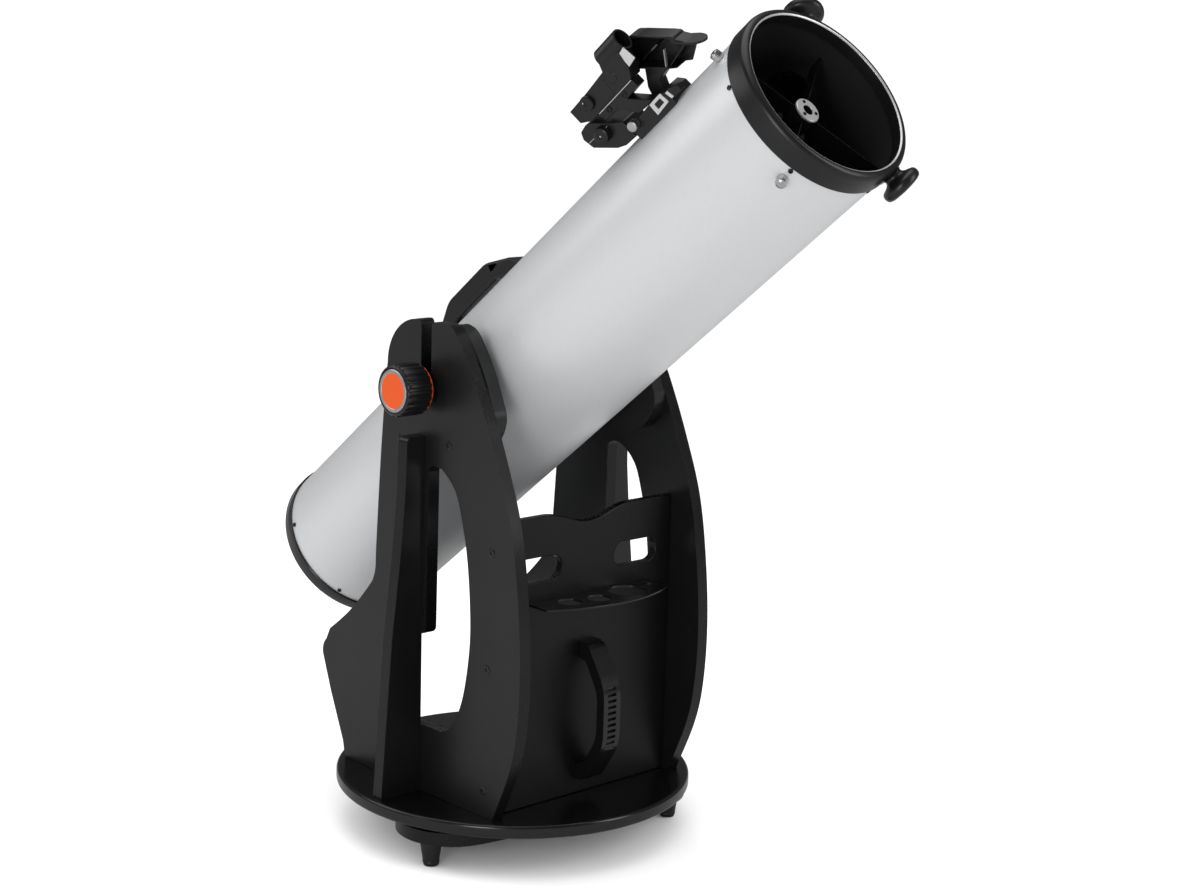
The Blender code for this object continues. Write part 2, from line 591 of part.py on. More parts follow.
# ---- finder and phone dock ----
def make_finder(tube):
    """Shoe on the tube that carries the red-dot finder and the phone dock."""
    frame = empty("finder_frame", tube, (0, 0, 0), (0, 0, -FINDER_BEARING))
    near = FINDER_SIDE - 0.0125
    shoe = plate("finder_shoe", [
        (0.100, 0.447), (0.1313, 0.4445), (0.1313, 0.4667), (0.1340, 0.4954), (0.1340, 0.5100), (0.1260, 0.5175),
        (0.100, 0.5180),
    ], near, 0.014, "X", "plastic", frame)
    hook = plate("shoe_hook", [
        (0.1180, 0.5150), (0.1300, 0.5130), (0.1300, 0.5240), (0.1255, 0.5349), (0.1180, 0.5353),
    ], near, near + 0.013, "X", None, frame)
    boolean(shoe, hook, "UNION")
    boolean(shoe, tube_cutter("shoe_saddle", tube), "DIFFERENCE")
    side_knob("shoe_lock_screw", frame, (near - GAP, 0.1290, 0.4565), [
        (0, 0), (0.0068, 0), (0.0068, 0.0105), (0.0058, 0.0115), (0, 0.0115),
    ], "chrome")

    plate("finder_bracket", [
        (0.1343, 0.4690), (0.1343, 0.4940), (0.1565, 0.4705), (0.1573, 0.4934), (0.1687, 0.4934),
        (0.1687, 0.4258), (0.1573, 0.4258), (0.1560, 0.4516),
    ], near + 0.002, near + 0.021, "X", "plastic", frame)
    body = plate("finder_body", [
        (0.1690, 0.4119), (0.1690, 0.4951), (0.1795, 0.5038), (0.2010, 0.5085), (0.2100, 0.4780), (0.1988, 0.4724),
        (0.1961, 0.4344), (0.1951, 0.3987), (0.1767, 0.3984),
    ], near, near + 0.025, "X", "plastic", frame)
    hood = turned("finder_hood", [(0, 0.478), (0.0140, 0.478), (0.0140, 0.517), (0, 0.517)], None, frame, 24)
    sight = turned("finder_sight", [(0, 0.47), (0.0115, 0.47), (0.0115, 0.53), (0, 0.53)], None, frame, 24)
    lens = turned("finder_lens", [
        (0, 0.494), (0.0110, 0.494), (0.0110, 0.4955), (0, 0.4955),
    ], "glass", frame, 20)
    for round_piece in (hood, sight, lens):
        round_piece.location = (FINDER_SIDE, 0.2090, 0)
    boolean(body, hood, "UNION")
    boolean(body, sight, "DIFFERENCE")
    side_knob("finder_switch", frame, (near - GAP, 0.1869, 0.4275), [
        (0, 0), (0.0095, 0), (0.0085, 0.0055), (0, 0.0055),
    ], "plastic")

    plate("dock_base", [
        (0.1182, 0.4438), (0.1420, 0.4438), (0.1517, 0.4288), (0.1684, 0.4085), (0.1710, 0.4000), (0.1690, 0.3885),
        (0.1600, 0.3835), (0.1452, 0.3861), (0.1238, 0.4123), (0.1191, 0.4241),
    ], near, 0.012, "X", "plastic", frame)
    side_knob("dock_adjust_knob", frame, (near - GAP, 0.1480, 0.4130), [
        (0, 0), (0.0095, 0), (0.0105, 0.002), (0.0105, 0.008), (0.009, 0.010), (0, 0.010),
    ], "plastic")
    plate("dock_arm", [
        (0.1343, 0.4760), (0.1343, 0.4954), (0.1455, 0.5010), (0.1480, 0.5150), (0.1507, 0.5165), (0.1682, 0.4975),
        (0.1500, 0.4820),
    ], DOCK_SIDE - 0.009, DOCK_SIDE + 0.009, "X", "plastic", frame)

    dock = empty("dock_frame", frame)
    dock.matrix_local = Matrix.Translation((DOCK_SIDE, 0.1787, 0.4868)) @ Matrix.Rotation(DOCK_TILT, 4, "X")
    half = 0.013
    scoop = plate("dock_scoop", [
        (0, 0), (0, 0.042), (0.0037, 0.0689), (0.0237, 0.0768), (0.0332, 0.0810), (0.0360, 0.0700), (0.0380, 0.0600),
        (0.0408, 0.0563), (0.0408, 0.0090), (0.0365, 0.0005), (0.0285, -0.0047),
    ], -half, half, "X", "plastic", dock)
    hollow = plate("dock_hollow", [
        (0.0025, 0.0025), (0.0025, 0.090), (0.0330, 0.090), (0.0330, 0.0560), (0.0383, 0.0550), (0.0383, 0.0095),
        (0.0345, 0.0030), (0.0285, -0.0018),
    ], -0.040, half - 0.0025, "X", None, dock)
    tongue = plate("dock_tongue", [
        *arc((0.001, 0.0790), 0.0165, 0, math.pi, 12), (-0.0125, 0.0560), (0.0125, 0.0560),
    ], 0.0322, 0.0350, "Y", None, dock)
    boolean(scoop, hollow, "DIFFERENCE")
    boolean(scoop, tongue, "UNION")
    plate("dock_mirror", [
        (0.0030, 0.0060), (0.0030, 0.0087), (0.0300, 0.0380), (0.0300, 0.0353),
    ], -half + 0.002, half - 0.0028, "X", "mirror", dock)


def side_knob(name, frame, place, profile, finish_name):
    """Small round knob whose axis points out of the finder group's left side."""
    knob = turned(name, profile, finish_name, frame, 16)
    knob.matrix_local = Matrix.Translation(place) @ Matrix.Rotation(-math.pi / 2, 4, "Y")


# ---- assembly ----
for thing in list(bpy.data.objects):
    bpy.data.objects.remove(thing, do_unlink=True)
MATERIALS = make_materials()
ROOT = empty("telescope", None, (0, AXIS_Y, 0))
make_ground(ROOT)
ROCKER = empty("rocker_frame", ROOT)
make_boards(ROCKER)
make_front_fittings(ROCKER)
TUBE = empty("tube_frame", ROCKER, (0, 0, TUBE_HEIGHT), (math.pi / 2 - ALTITUDE, 0, 0))
make_tube(TUBE)
make_mirrors(TUBE)
make_bearings(TUBE)
make_focuser(TUBE)
make_finder(TUBE)
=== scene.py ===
"""Looks of the dobsonian telescope: detailed pieces, materials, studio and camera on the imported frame."""

import math

import bmesh
import bpy
from mathutils import Matrix, Vector


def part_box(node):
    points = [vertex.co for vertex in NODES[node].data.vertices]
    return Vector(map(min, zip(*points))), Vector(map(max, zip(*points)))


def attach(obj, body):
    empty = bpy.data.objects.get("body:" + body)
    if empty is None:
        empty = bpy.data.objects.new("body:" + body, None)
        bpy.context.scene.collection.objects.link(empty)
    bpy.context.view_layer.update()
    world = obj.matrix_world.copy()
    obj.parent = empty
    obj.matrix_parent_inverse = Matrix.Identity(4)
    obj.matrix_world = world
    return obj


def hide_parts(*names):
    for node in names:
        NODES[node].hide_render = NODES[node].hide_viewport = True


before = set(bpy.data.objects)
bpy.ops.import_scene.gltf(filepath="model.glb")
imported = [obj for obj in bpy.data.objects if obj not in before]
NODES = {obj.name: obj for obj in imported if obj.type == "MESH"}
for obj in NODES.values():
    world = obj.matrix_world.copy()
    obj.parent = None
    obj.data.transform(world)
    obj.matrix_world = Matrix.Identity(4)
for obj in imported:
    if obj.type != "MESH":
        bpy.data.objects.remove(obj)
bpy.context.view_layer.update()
FULL_TURN = 2 * math.pi

# ---- places, read from the frame ----
def middle(node):
    """Centre of a CAD node's box."""
    low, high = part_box(node)
    return (Vector(low) + Vector(high)) / 2


def low_z(node):
    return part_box(node)[0][2]


def high_z(node):
    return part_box(node)[1][2]


AXIS_Y = middle("azimuth_board").y
PIVOT = Vector((0, middle("tension_knob_left").y, middle("tension_knob_left").z))
ALTITUDE = math.radians(38.1)
ROCKER = Matrix.Translation((0, AXIS_Y, 0))
PIVOT_PLACE = 0.011
PIVOT_RISE = 0.004
TUBE = (
    Matrix.Translation(PIVOT) @ Matrix.Rotation(math.pi / 2 - ALTITUDE, 4, "X")
    @ Matrix.Translation((0, -PIVOT_RISE, -PIVOT_PLACE))
)
FINDER = TUBE @ Matrix.Rotation(math.radians(28), 4, "Z")
FINDER_SIDE = -0.0235
NEAR = FINDER_SIDE - 0.0125
DOCK_SIDE = 0.005
DOCK = FINDER @ Matrix.Translation((DOCK_SIDE, 0.1787, 0.4868)) @ Matrix.Rotation(math.radians(42), 4, "X")
FOCUSER = (
    TUBE @ Matrix.Translation((0, 0, 0.545)) @ Matrix.Rotation(math.radians(-45), 4, "Z")
    @ Matrix.Rotation(-math.pi / 2, 4, "X")
)
BOARD = 0.018
FRONT_BOARD = 0.012
GAP = 0.0003  # space that the CAD keeps between touching parts
PANEL_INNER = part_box("side_panel_right")[0][0]
PANEL_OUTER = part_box("side_panel_right")[1][0]
PANEL_LOW = low_z("side_panel_right")
BASE_TOP = high_z("azimuth_board")
BASE_LOW = low_z("azimuth_board")
BASE_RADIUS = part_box("azimuth_board")[1][0]
TUBE_RADIUS = 0.116
RING_RADIUS = 0.1187
VANE_PLACE = 0.6015
GRIP_PLACE = 0.6345
FRONT_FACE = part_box("front_board")[0][1] - AXIS_Y


# ---- materials ----
GRAIN_DEPTH = 0.0002


def surface(
    name, colour, rough, metallic=0.0, shade=0.25, grain=900.0, bump=0.15, wear=0.08, **sockets,
):
    """Principled material: mottled colour, uneven gloss, and a fine grain in the bump."""
    made = bpy.data.materials.new(name)
    made.use_nodes = True
    nodes, links = made.node_tree.nodes, made.node_tree.links
    shader = nodes["Principled BSDF"]
    shader.inputs["Metallic"].default_value = metallic
    for socket, value in sockets.items():
        shader.inputs[socket.replace("_", " ")].default_value = value
    place = nodes.new("ShaderNodeTexCoord").outputs["Object"]

    def noise(scale, detail):
        tex = nodes.new("ShaderNodeTexNoise")
        tex.inputs["Scale"].default_value = scale
        tex.inputs["Detail"].default_value = detail
        tex.inputs["Roughness"].default_value = 0.55
        links.new(place, tex.inputs["Vector"])
        return tex.outputs["Fac"]

    def mapped(value, low, high, start=0.3, end=0.7):
        tex = nodes.new("ShaderNodeMapRange")
        tex.inputs["From Min"].default_value = start
        tex.inputs["From Max"].default_value = end
        tex.inputs["To Min"].default_value = low
        tex.inputs["To Max"].default_value = high
        links.new(value, tex.inputs["Value"])
        return tex.outputs["Result"]

    ramp = nodes.new("ShaderNodeValToRGB")
    ramp.color_ramp.elements[0].position = 0.3
    ramp.color_ramp.elements[1].position = 0.7
    ramp.color_ramp.elements[0].color = (*[c * (1 - shade) for c in colour], 1)
    ramp.color_ramp.elements[1].color = (*[min(1, c * (1 + shade)) for c in colour], 1)
    links.new(noise(grain * 0.45, 5), ramp.inputs["Fac"])
    links.new(ramp.outputs["Color"], shader.inputs["Base Color"])
    smudge = nodes.new("ShaderNodeMath")
    smudge.operation = "ADD"
    links.new(mapped(noise(9, 4), rough - wear / 2, rough + wear / 2), smudge.inputs[0])
    links.new(mapped(noise(grain * 0.2, 3), -wear / 3, wear / 3), smudge.inputs[1])
    links.new(smudge.outputs["Value"], shader.inputs["Roughness"])
    rise = nodes.new("ShaderNodeBump")
    rise.inputs["Strength"].default_value = bump
    rise.inputs["Distance"].default_value = GRAIN_DEPTH
    links.new(noise(grain, 4), rise.inputs["Height"])
    links.new(rise.outputs["Normal"], shader.inputs["Normal"])
    return made


LAMINATE = surface(
    "laminate", (0.0026, 0.0026, 0.0028), 0.38, shade=0.2, grain=1500, bump=0.05, wear=0.05,
    Specular_IOR_Level=0.24,
)
# Lit copy of the laminate for the side panels and braces: its lighter colour is painted light, because these
# faces read brighter than the front board.
PANEL_LAMINATE_PAINTED_LIGHT = surface(
    "panel_laminate_painted_light", (0.0040, 0.0040, 0.0043), 0.37, shade=0.2, grain=1500, bump=0.05, wear=0.05,
    Specular_IOR_Level=0.42,
)
BASE_LAMINATE = surface(
    "base_laminate", (0.0030, 0.0030, 0.0032), 0.24, shade=0.2, grain=1500, bump=0.03, wear=0.04,
    Specular_IOR_Level=0.35,
)
EDGE_BAND = surface(
    "edge_band", (0.0028, 0.0028, 0.0030), 0.27, shade=0.12, grain=500, bump=0.02, wear=0.04,
    Specular_IOR_Level=0.28,
)
PLASTIC = surface(
    "black_plastic", (0.0045, 0.0045, 0.0048), 0.33, shade=0.15, grain=1100, bump=0.06, wear=0.06,
    Specular_IOR_Level=0.4,
)
GLOSS_PLASTIC = surface(
    "rim_plastic", (0.0038, 0.0038, 0.0040), 0.20, shade=0.12, grain=700, bump=0.02, wear=0.03,
    Specular_IOR_Level=0.45,
)
RUBBER = surface(
    "rubber", (0.0050, 0.0050, 0.0053), 0.36, shade=0.2, grain=1400, bump=0.08,
    Specular_IOR_Level=0.4,
)
BLACK_METAL = surface("black_metal", (0.0055, 0.0055, 0.006), 0.24, 0.2, grain=1500, bump=0.03, wear=0.05)
TUBE_BLACK = surface("tube_inside", (0.0026, 0.0026, 0.0028), 0.80, shade=0.2, grain=1200, bump=0.1)
TUBE_SILVER = surface(
    "tube_paint", (0.49, 0.501, 0.513), 0.36, 0.34, shade=0.015, grain=400, bump=0.004, wear=0.03,
    Coat_Weight=0.15, Coat_Roughness=0.15,
)
CHROME = surface("chrome", (0.52, 0.52, 0.53), 0.28, 1.0, shade=0.06, grain=1500, bump=0.02, wear=0.06)
SATIN = surface("satin_steel", (0.58, 0.58, 0.59), 0.36, 0.7, shade=0.06, grain=1400, bump=0.04, wear=0.06)
STEEL = surface("spring_steel", (0.5, 0.5, 0.51), 0.32, 1.0, shade=0.12, grain=2000, bump=0.05)
WHITE_GLIDE = surface("white_glide", (0.82, 0.82, 0.8), 0.4, shade=0.05, grain=900, bump=0.06)
MIRROR = surface("mirror_coat", (0.93, 0.94, 0.95), 0.03, 1.0, shade=0.01, grain=500, bump=0.0, wear=0.01)
DOCK_GLASS = surface("dock_glass", (0.10, 0.10, 0.11), 0.10, 1.0, shade=0.02, grain=500, bump=0.0, wear=0.01)
LENS = surface("lens_coat", (0.03, 0.035, 0.06), 0.06, 0.0, shade=0.1, grain=300, bump=0.0, wear=0.01)
ORANGE = surface(
    "orange", (0.50, 0.060, 0.004), 0.5, shade=0.04, grain=900, bump=0.05, Specular_IOR_Level=0.2,
)
# Grey used only for painted highlights, on the dock ledge and the dock rib.
PAINTED_HIGHLIGHT_GREY = surface("painted_highlight_grey", (0.20, 0.20, 0.21), 0.35, 0.3, shade=0.1, grain=900, bump=0.04)
# Matte near-black used on the rail screws: painted shade that makes their heads read as dark holes.
RECESS_PAINTED_SHADE = surface("painted_recess_shade", (0.003, 0.003, 0.003), 0.7, shade=0.2, grain=1200, bump=0.1)


# ---- outlines ----
def arc(centre, radius, start, end, steps):
    """Points on an arc from start to end, both ends included."""
    turn = (end - start) / steps
    return [
        (centre[0] + radius * math.cos(start + turn * i), centre[1] + radius * math.sin(start + turn * i))
        for i in range(steps + 1)
    ]


def circle(centre, radius, steps):
    return arc(centre, radius, 0, FULL_TURN, steps)[:-1]


def rounded(corners, steps=8):
    """Outline through corners (a, b, radius), each corner with a radius replaced by an arc."""
    outline = []
    count = len(corners)
    for i, (a, b, radius) in enumerate(corners):
        here = Vector((a, b))
        if radius <= 0:
            outline.append((a, b))
            continue
        back = (Vector(corners[i - 1][:2]) - here).normalized()
        ahead = (Vector(corners[(i + 1) % count][:2]) - here).normalized()
        half = back.angle(ahead) / 2
        centre = here + (back + ahead).normalized() * radius / math.sin(half)
        first = here + back * radius / math.tan(half) - centre
        last = here + ahead * radius / math.tan(half) - centre
        sweep = first.angle_signed(last)
        for k in range(steps + 1):
            spoke = first.copy()
            spoke.rotate(Matrix.Rotation(-sweep * k / steps, 2))
            outline.append(tuple(centre + spoke))
    return outline


def smooth_run(points, steps):
    """Catmull-Rom curve through the points, with the given number of steps between neighbours."""
    padded = [points[0], *points, points[-1]]
    run = []
    for p0, p1, p2, p3 in zip(padded, padded[1:], padded[2:], padded[3:]):
        for k in range(steps):
            t = k / steps
            run.append(tuple(
                0.5 * (
                    2 * b + (c - a) * t + (2 * a - 5 * b + 4 * c - d) * t**2
                    + (3 * b - a - 3 * c + d) * t**3
                )
                for a, b, c, d in zip(p0, p1, p2, p3)
            ))
    return [*run, points[-1]]


# ---- pieces ----
def place(name, shape, where, materials, body, nodes=(), bevel=0.0, sharp=32, segments=3):
    """Makes a shaded and bevelled object, rides it on its body and hides the CAD nodes it stands for."""
    bmesh.ops.recalc_face_normals(shape, faces=shape.faces)
    mesh = bpy.data.meshes.new(name)
    shape.to_mesh(mesh)
    shape.free()
    mesh.shade_smooth()
    mesh.set_sharp_from_angle(angle=math.radians(sharp))
    for finish in materials:
        mesh.materials.append(finish)
    made = bpy.data.objects.new(name, mesh)
    bpy.context.scene.collection.objects.link(made)
    made.matrix_world = where
    if bevel:
        step = made.modifiers.new("edges", "BEVEL")
        step.width = bevel
        step.segments = segments
        step.limit_method = "ANGLE"
        step.angle_limit = math.radians(40)
        step.harden_normals = True
    if body:
        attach(made, body)
    if nodes:
        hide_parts(*nodes)
    return made


def lathe(shape, profile, segments, ribs=None, bands=()):
    """Adds a body of revolution about local Z.

    ribs(angle, radius, height) gives a changed radius, and bands holds each step's material index.
    """
    rings = []
    for radius, height in profile:
        if radius <= 0:
            rings.append([shape.verts.new((0, 0, height))])
            continue
        ring = []
        for k in range(segments):
            angle = FULL_TURN * k / segments
            reach = ribs(angle, radius, height) if ribs else radius
            ring.append(shape.verts.new((reach * math.cos(angle), reach * math.sin(angle), height)))
        rings.append(ring)
    for step, (here, ahead) in enumerate(zip(rings, rings[1:] + rings[:1])):
        if len(here) == 1 and len(ahead) == 1:
            continue
        for i in range(segments):
            j = (i + 1) % segments
            corners = (
                here[i % len(here)], here[j % len(here)], ahead[j % len(ahead)], ahead[i % len(ahead)],
            )
            face = shape.faces.new(list(dict.fromkeys(corners)))
            face.material_index = bands[step] if bands else 0
    return shape


def turned(name, profile, where, materials, body, nodes=(), segments=64, ribs=None, bands=(), **rest):
    """Piece of revolution."""
    shape = lathe(bmesh.new(), profile, segments, ribs, bands)
    return place(name, shape, where, materials, body, nodes, **rest)


SPOTS = {
    "X": lambda a, b, depth: (depth, a, b),
    "Y": lambda a, b, depth: (a, depth, b),
    "Z": lambda a, b, depth: (a, b, depth),
}


def slab(shape, outline, low, high, along, holes=(), side_index=0):
    """Adds an outline with holes, extruded from low to high along X, Y or Z."""
    spot = SPOTS[along]
    before = set(shape.faces)
    edges = []
    for loop in (outline, *holes):
        corners = [shape.verts.new(spot(a, b, low)) for a, b in loop]
        edges += [shape.edges.new(pair) for pair in zip(corners, corners[1:] + corners[:1])]
    bmesh.ops.triangle_fill(shape, edges=edges, use_beauty=True)
    caps = [face for face in shape.faces if face not in before]
    grown = bmesh.ops.extrude_face_region(shape, geom=caps)["geom"]
    lifted = [item for item in grown if isinstance(item, bmesh.types.BMVert)]
    bmesh.ops.translate(shape, verts=lifted, vec=spot(0, 0, high - low))
    top = {item for item in grown if isinstance(item, bmesh.types.BMFace)} | set(caps)
    for face in shape.faces:
        if face not in before:
            face.material_index = 0 if face in top else side_index
    return shape


def plate(name, outline, low, high, along, where, materials, body, nodes=(), holes=(), bevel=0.0015, **rest):
    """Flat piece with softened edges."""
    side = 1 if len(materials) > 1 else 0
    shape = slab(bmesh.new(), outline, low, high, along, holes, side)
    return place(name, shape, where, materials, body, nodes, bevel=bevel, **rest)


def cut(target, cutter, operation="DIFFERENCE"):
    """Applies an exact Boolean before the piece's bevel, then removes the cutter."""
    step = target.modifiers.new("cut", "BOOLEAN")
    step.operation = operation
    step.solver = "EXACT"
    step.object = cutter
    target.modifiers.move(len(target.modifiers) - 1, 0)
    with bpy.context.temp_override(object=target, active_object=target, selected_objects=[target]):
        bpy.ops.object.modifier_apply(modifier="cut")
    bpy.data.objects.remove(cutter, do_unlink=True)
    target.data.shade_smooth()
    target.data.set_sharp_from_angle(angle=math.radians(32))


def tool(shape, where=Matrix.Identity(4)):
    """Loose object used by cut."""
    return place("cutter", shape, where, (), None)


def about(axis_point, direction, roll=0.0):
    """Matrix whose Z runs along a direction."""
    turn = Vector(direction).to_track_quat("Z", "Y").to_matrix().to_4x4()
    return Matrix.Translation(axis_point) @ turn @ Matrix.Rotation(roll, 4, "Z")


def socket_screw(name, where, radius, height, body, finish=BLACK_METAL):
    """Round screw head with a dished rim and a hexagonal socket."""
    sides = 6
    shape = bmesh.new()
    lathe(shape, [
        (0, 0), (radius, 0), (radius, height * 0.6), (radius * 0.92, height * 0.9), (radius * 0.82, height),
        (radius * 0.5, height), (radius * 0.5, height * 0.35), (0, height * 0.35),
    ], 36, lambda angle, r, h: (
        r if r > radius * 0.55 else r * math.cos(math.pi / sides) / math.cos(
            (angle % (FULL_TURN / sides)) - math.pi / sides
        )
    ))
    return place(name, shape, where, (finish,), body)


def dress(finish, *nodes, bevel=0.0):
    """Gives carried-over CAD nodes a detailed material and soft edges."""
    for node in nodes:
        thing = NODES[node]
        thing.data.materials.clear()
        thing.data.materials.append(finish)
        if bevel:
            step = thing.modifiers.new("edges", "BEVEL")
            step.width = bevel
            step.segments = 2
            step.limit_method = "ANGLE"
            step.angle_limit = math.radians(40)


# ---- ground board ----
def make_ground():
    """Lobed board, ribbed rubber feet, glide pads, and the azimuth bolt."""
    low, high = low_z("ground_board"), high_z("ground_board")
    lobes = []
    for i in range(3):
        bearing = math.radians(200 + 120 * i)
        spot = (0.165 * math.cos(bearing), 0.165 * math.sin(bearing))
        lobes += arc(spot, 0.075, bearing - math.radians(60), bearing + math.radians(60), 28)
        foot = f"foot_{i + 1}"
        place_foot = Matrix.Translation((middle(foot).x, middle(foot).y, 0))
        tall = high_z(foot)
        turned(foot + "_look", [
            (0, 0), (0.0082, 0), (0.0096, 0.0006), (0.0101, 0.002), (0.0106, 0.0045), (0.0112, 0.005),
            (0.0112, 0.0065), (0.0109, 0.007), (0.0140, tall - 0.008), (0.0143, tall - 0.0075),
            (0.0145, tall - 0.006), (0.0145, tall - 0.001), (0.0140, tall), (0, tall),
        ], place_foot, (RUBBER,), "ground", (foot,), 48)
    plate(
        "ground_board_look", lobes, low, high, "Z", ROCKER, (LAMINATE, EDGE_BAND), "ground",
        ("ground_board",), [circle((0, 0), 0.0053, 24)], 0.002,
    )
    dress(WHITE_GLIDE, "glide_pad_1", "glide_pad_2", "glide_pad_3", bevel=0.0004)
    dress(CHROME, "azimuth_bolt", "azimuth_nut", bevel=0.0006)


# ---- rocker ----
def slot_sides(half_width, top):
    """Open slot from the top edge down to the altitude axis, with rounded lips."""
    lip = 0.006
    centre = PIVOT.y - AXIS_Y
    return [
        *arc((centre + half_width + lip, top - lip), lip, math.pi / 2, math.pi, 8),
        *arc((centre, PIVOT.z), half_width, 0, -math.pi, 20),
        *arc((centre - half_width - lip, top - lip), lip, 0, math.pi / 2, 8),
    ]


def panel_outline():
    """Side panel in the YZ plane."""
    top_rear = arc((0.012, 0.644), 0.0625, 0, math.radians(86), 20)
    front = smooth_run([
        (-0.044, 0.7062), (-0.060, 0.7015), (-0.080, 0.677), (-0.115, 0.616), (-0.150, 0.541),
        (-0.179, 0.463), (-0.195, 0.372), (-0.2015, 0.285), (-0.1975, 0.205), (-0.184, 0.146),
        (-0.153, PANEL_LOW),
    ], 9)
    rear = [(0.163, PANEL_LOW), (0.168, 0.098), (0.197, 0.163)]
    hip = arc((0.194, 0.2185), 0.0225, math.radians(-25), math.radians(50), 12)
    waist = smooth_run([
        (0.200, 0.2525), (0.158, 0.285), (0.118, 0.3245), (0.099, 0.352), (0.0955, 0.398), (0.087, 0.523),
        (0.0765, 0.632),
    ], 6)
    return [*top_rear, *slot_sides(0.0105, 0.7062), *front, *rear, *hip, *waist]


def window_outline():
    """Tall bowed window in a side panel."""
    front = smooth_run([
        (-0.041, 0.518), (-0.062, 0.502), (-0.077, 0.477), (-0.094, 0.415), (-0.1025, 0.340),
        (-0.1015, 0.285), (-0.089, 0.220), (-0.068, 0.180), (-0.047, 0.167),
    ], 8)
    rear = rounded([
        (-0.040, 0.1665, 0), (0.032, 0.1665, 0.012), (0.032, 0.286, 0.010), (-0.0125, 0.292, 0.010),
        (-0.0145, 0.519, 0.010), (-0.036, 0.519, 0),
    ])
    return [*front, *rear]


def make_rocker():
    """Base disc, side panels, braces, front board and cradles, with edge bands and furniture screws."""
    edge = 0.0045
    profile = [
        (0.0053, BASE_LOW), *arc((BASE_RADIUS - edge, BASE_LOW + edge), edge, -math.pi / 2, 0, 8),
        *arc((BASE_RADIUS - edge, BASE_TOP - edge), edge, 0, math.pi / 2, 8), (0.0053, BASE_TOP),
    ]
    turned(
        "azimuth_board_look", profile, ROCKER, (BASE_LAMINATE, GLOSS_PLASTIC), "rocker",
        ("azimuth_board",), 160, bands=[0] + [1] * 17 + [0, 0],
    )

    inner = PANEL_OUTER + GAP
    brace = [
        (inner, PANEL_LOW), (0.2343, PANEL_LOW), (0.2190, 0.290), (0.2068, 0.396), (0.1998, 0.475),
        *arc((0.1900, 0.5490), 0.0075, 0, math.pi / 2, 12), (inner, 0.5565),
    ]
    cradle = [
        *slot_sides(0.031, 0.7040),
        *smooth_run([
            (-0.050, 0.7030), (-0.062, 0.6980), (-0.075, 0.6850), (-0.100, 0.6470), (-0.1225, 0.600),
        ], 8),
        *smooth_run([(-0.1235, 0.588), (-0.117, 0.570), (-0.100, 0.552), (-0.070, 0.545)], 8),
        *rounded([
            (-0.060, 0.545, 0), (0.058, 0.545, 0.015), (0.070, 0.640, 0.02), (0.058, 0.690, 0.02),
            (0.037, 0.7035, 0),
        ]),
    ]
    screws = ((-0.143, 0.427), (-0.138, 0.273), (-0.1346, 0.111), (-0.0548, 0.5505), (0.045, 0.545))
    for side, sign in (("left", -1), ("right", 1)):
        low, high = sorted((sign * PANEL_INNER, sign * PANEL_OUTER))
        plate(
            f"side_panel_{side}_look", panel_outline(), low, high, "X", ROCKER,
            (PANEL_LAMINATE_PAINTED_LIGHT, EDGE_BAND), "rocker", (f"side_panel_{side}",), [window_outline()], 0.0025,
            segments=4,
        )
        mirrored = [(sign * a, b) for a, b in brace]
        plate(
            f"brace_{side}_look", mirrored, -0.005, -0.005 + BOARD, "Y", ROCKER,
            (PANEL_LAMINATE_PAINTED_LIGHT, EDGE_BAND), "rocker", (f"brace_{side}",), (), 0.0016,
        )
        low, high = sorted((sign * 0.131, sign * (PANEL_INNER - GAP)))
        plate(
            f"cradle_{side}_look", cradle, low, high, "X", ROCKER, (PLASTIC,), "rocker",
            (f"bearing_cradle_{side}",), (), 0.0022,
        )
        out = (sign, 0, 0)
        for i, (y, z) in enumerate(screws):
            seat = about(ROCKER @ Vector((sign * (PANEL_OUTER - 0.0012), y, z)), out)
            socket_screw(f"panel_screw_{side}_{i + 1}", seat, 0.0062, 0.0022, "rocker")

    half = PANEL_INNER - GAP
    top = high_z("front_board")
    dip = [
        (half * k / 30, top - 0.008 - 0.008 * math.cos(min(1, abs(k) / 15) * math.pi))
        for k in range(30, -31, -1)
    ]
    slots = []
    for sign in (-1, 1):
        centre = sign * 0.0855
        slots.append([
            *arc((centre + 0.0225, 0.393), 0.016, -math.pi / 2, math.pi / 2, 14),
            *arc((centre - 0.0225, 0.393), 0.016, math.pi / 2, 1.5 * math.pi, 14),
        ])
    plate(
        "front_board_look", [(-half, PANEL_LOW), (half, PANEL_LOW), *dip], FRONT_FACE,
        FRONT_FACE + FRONT_BOARD, "Y", ROCKER, (LAMINATE, EDGE_BAND), "rocker", ("front_board",), slots,
        0.0018,
    )


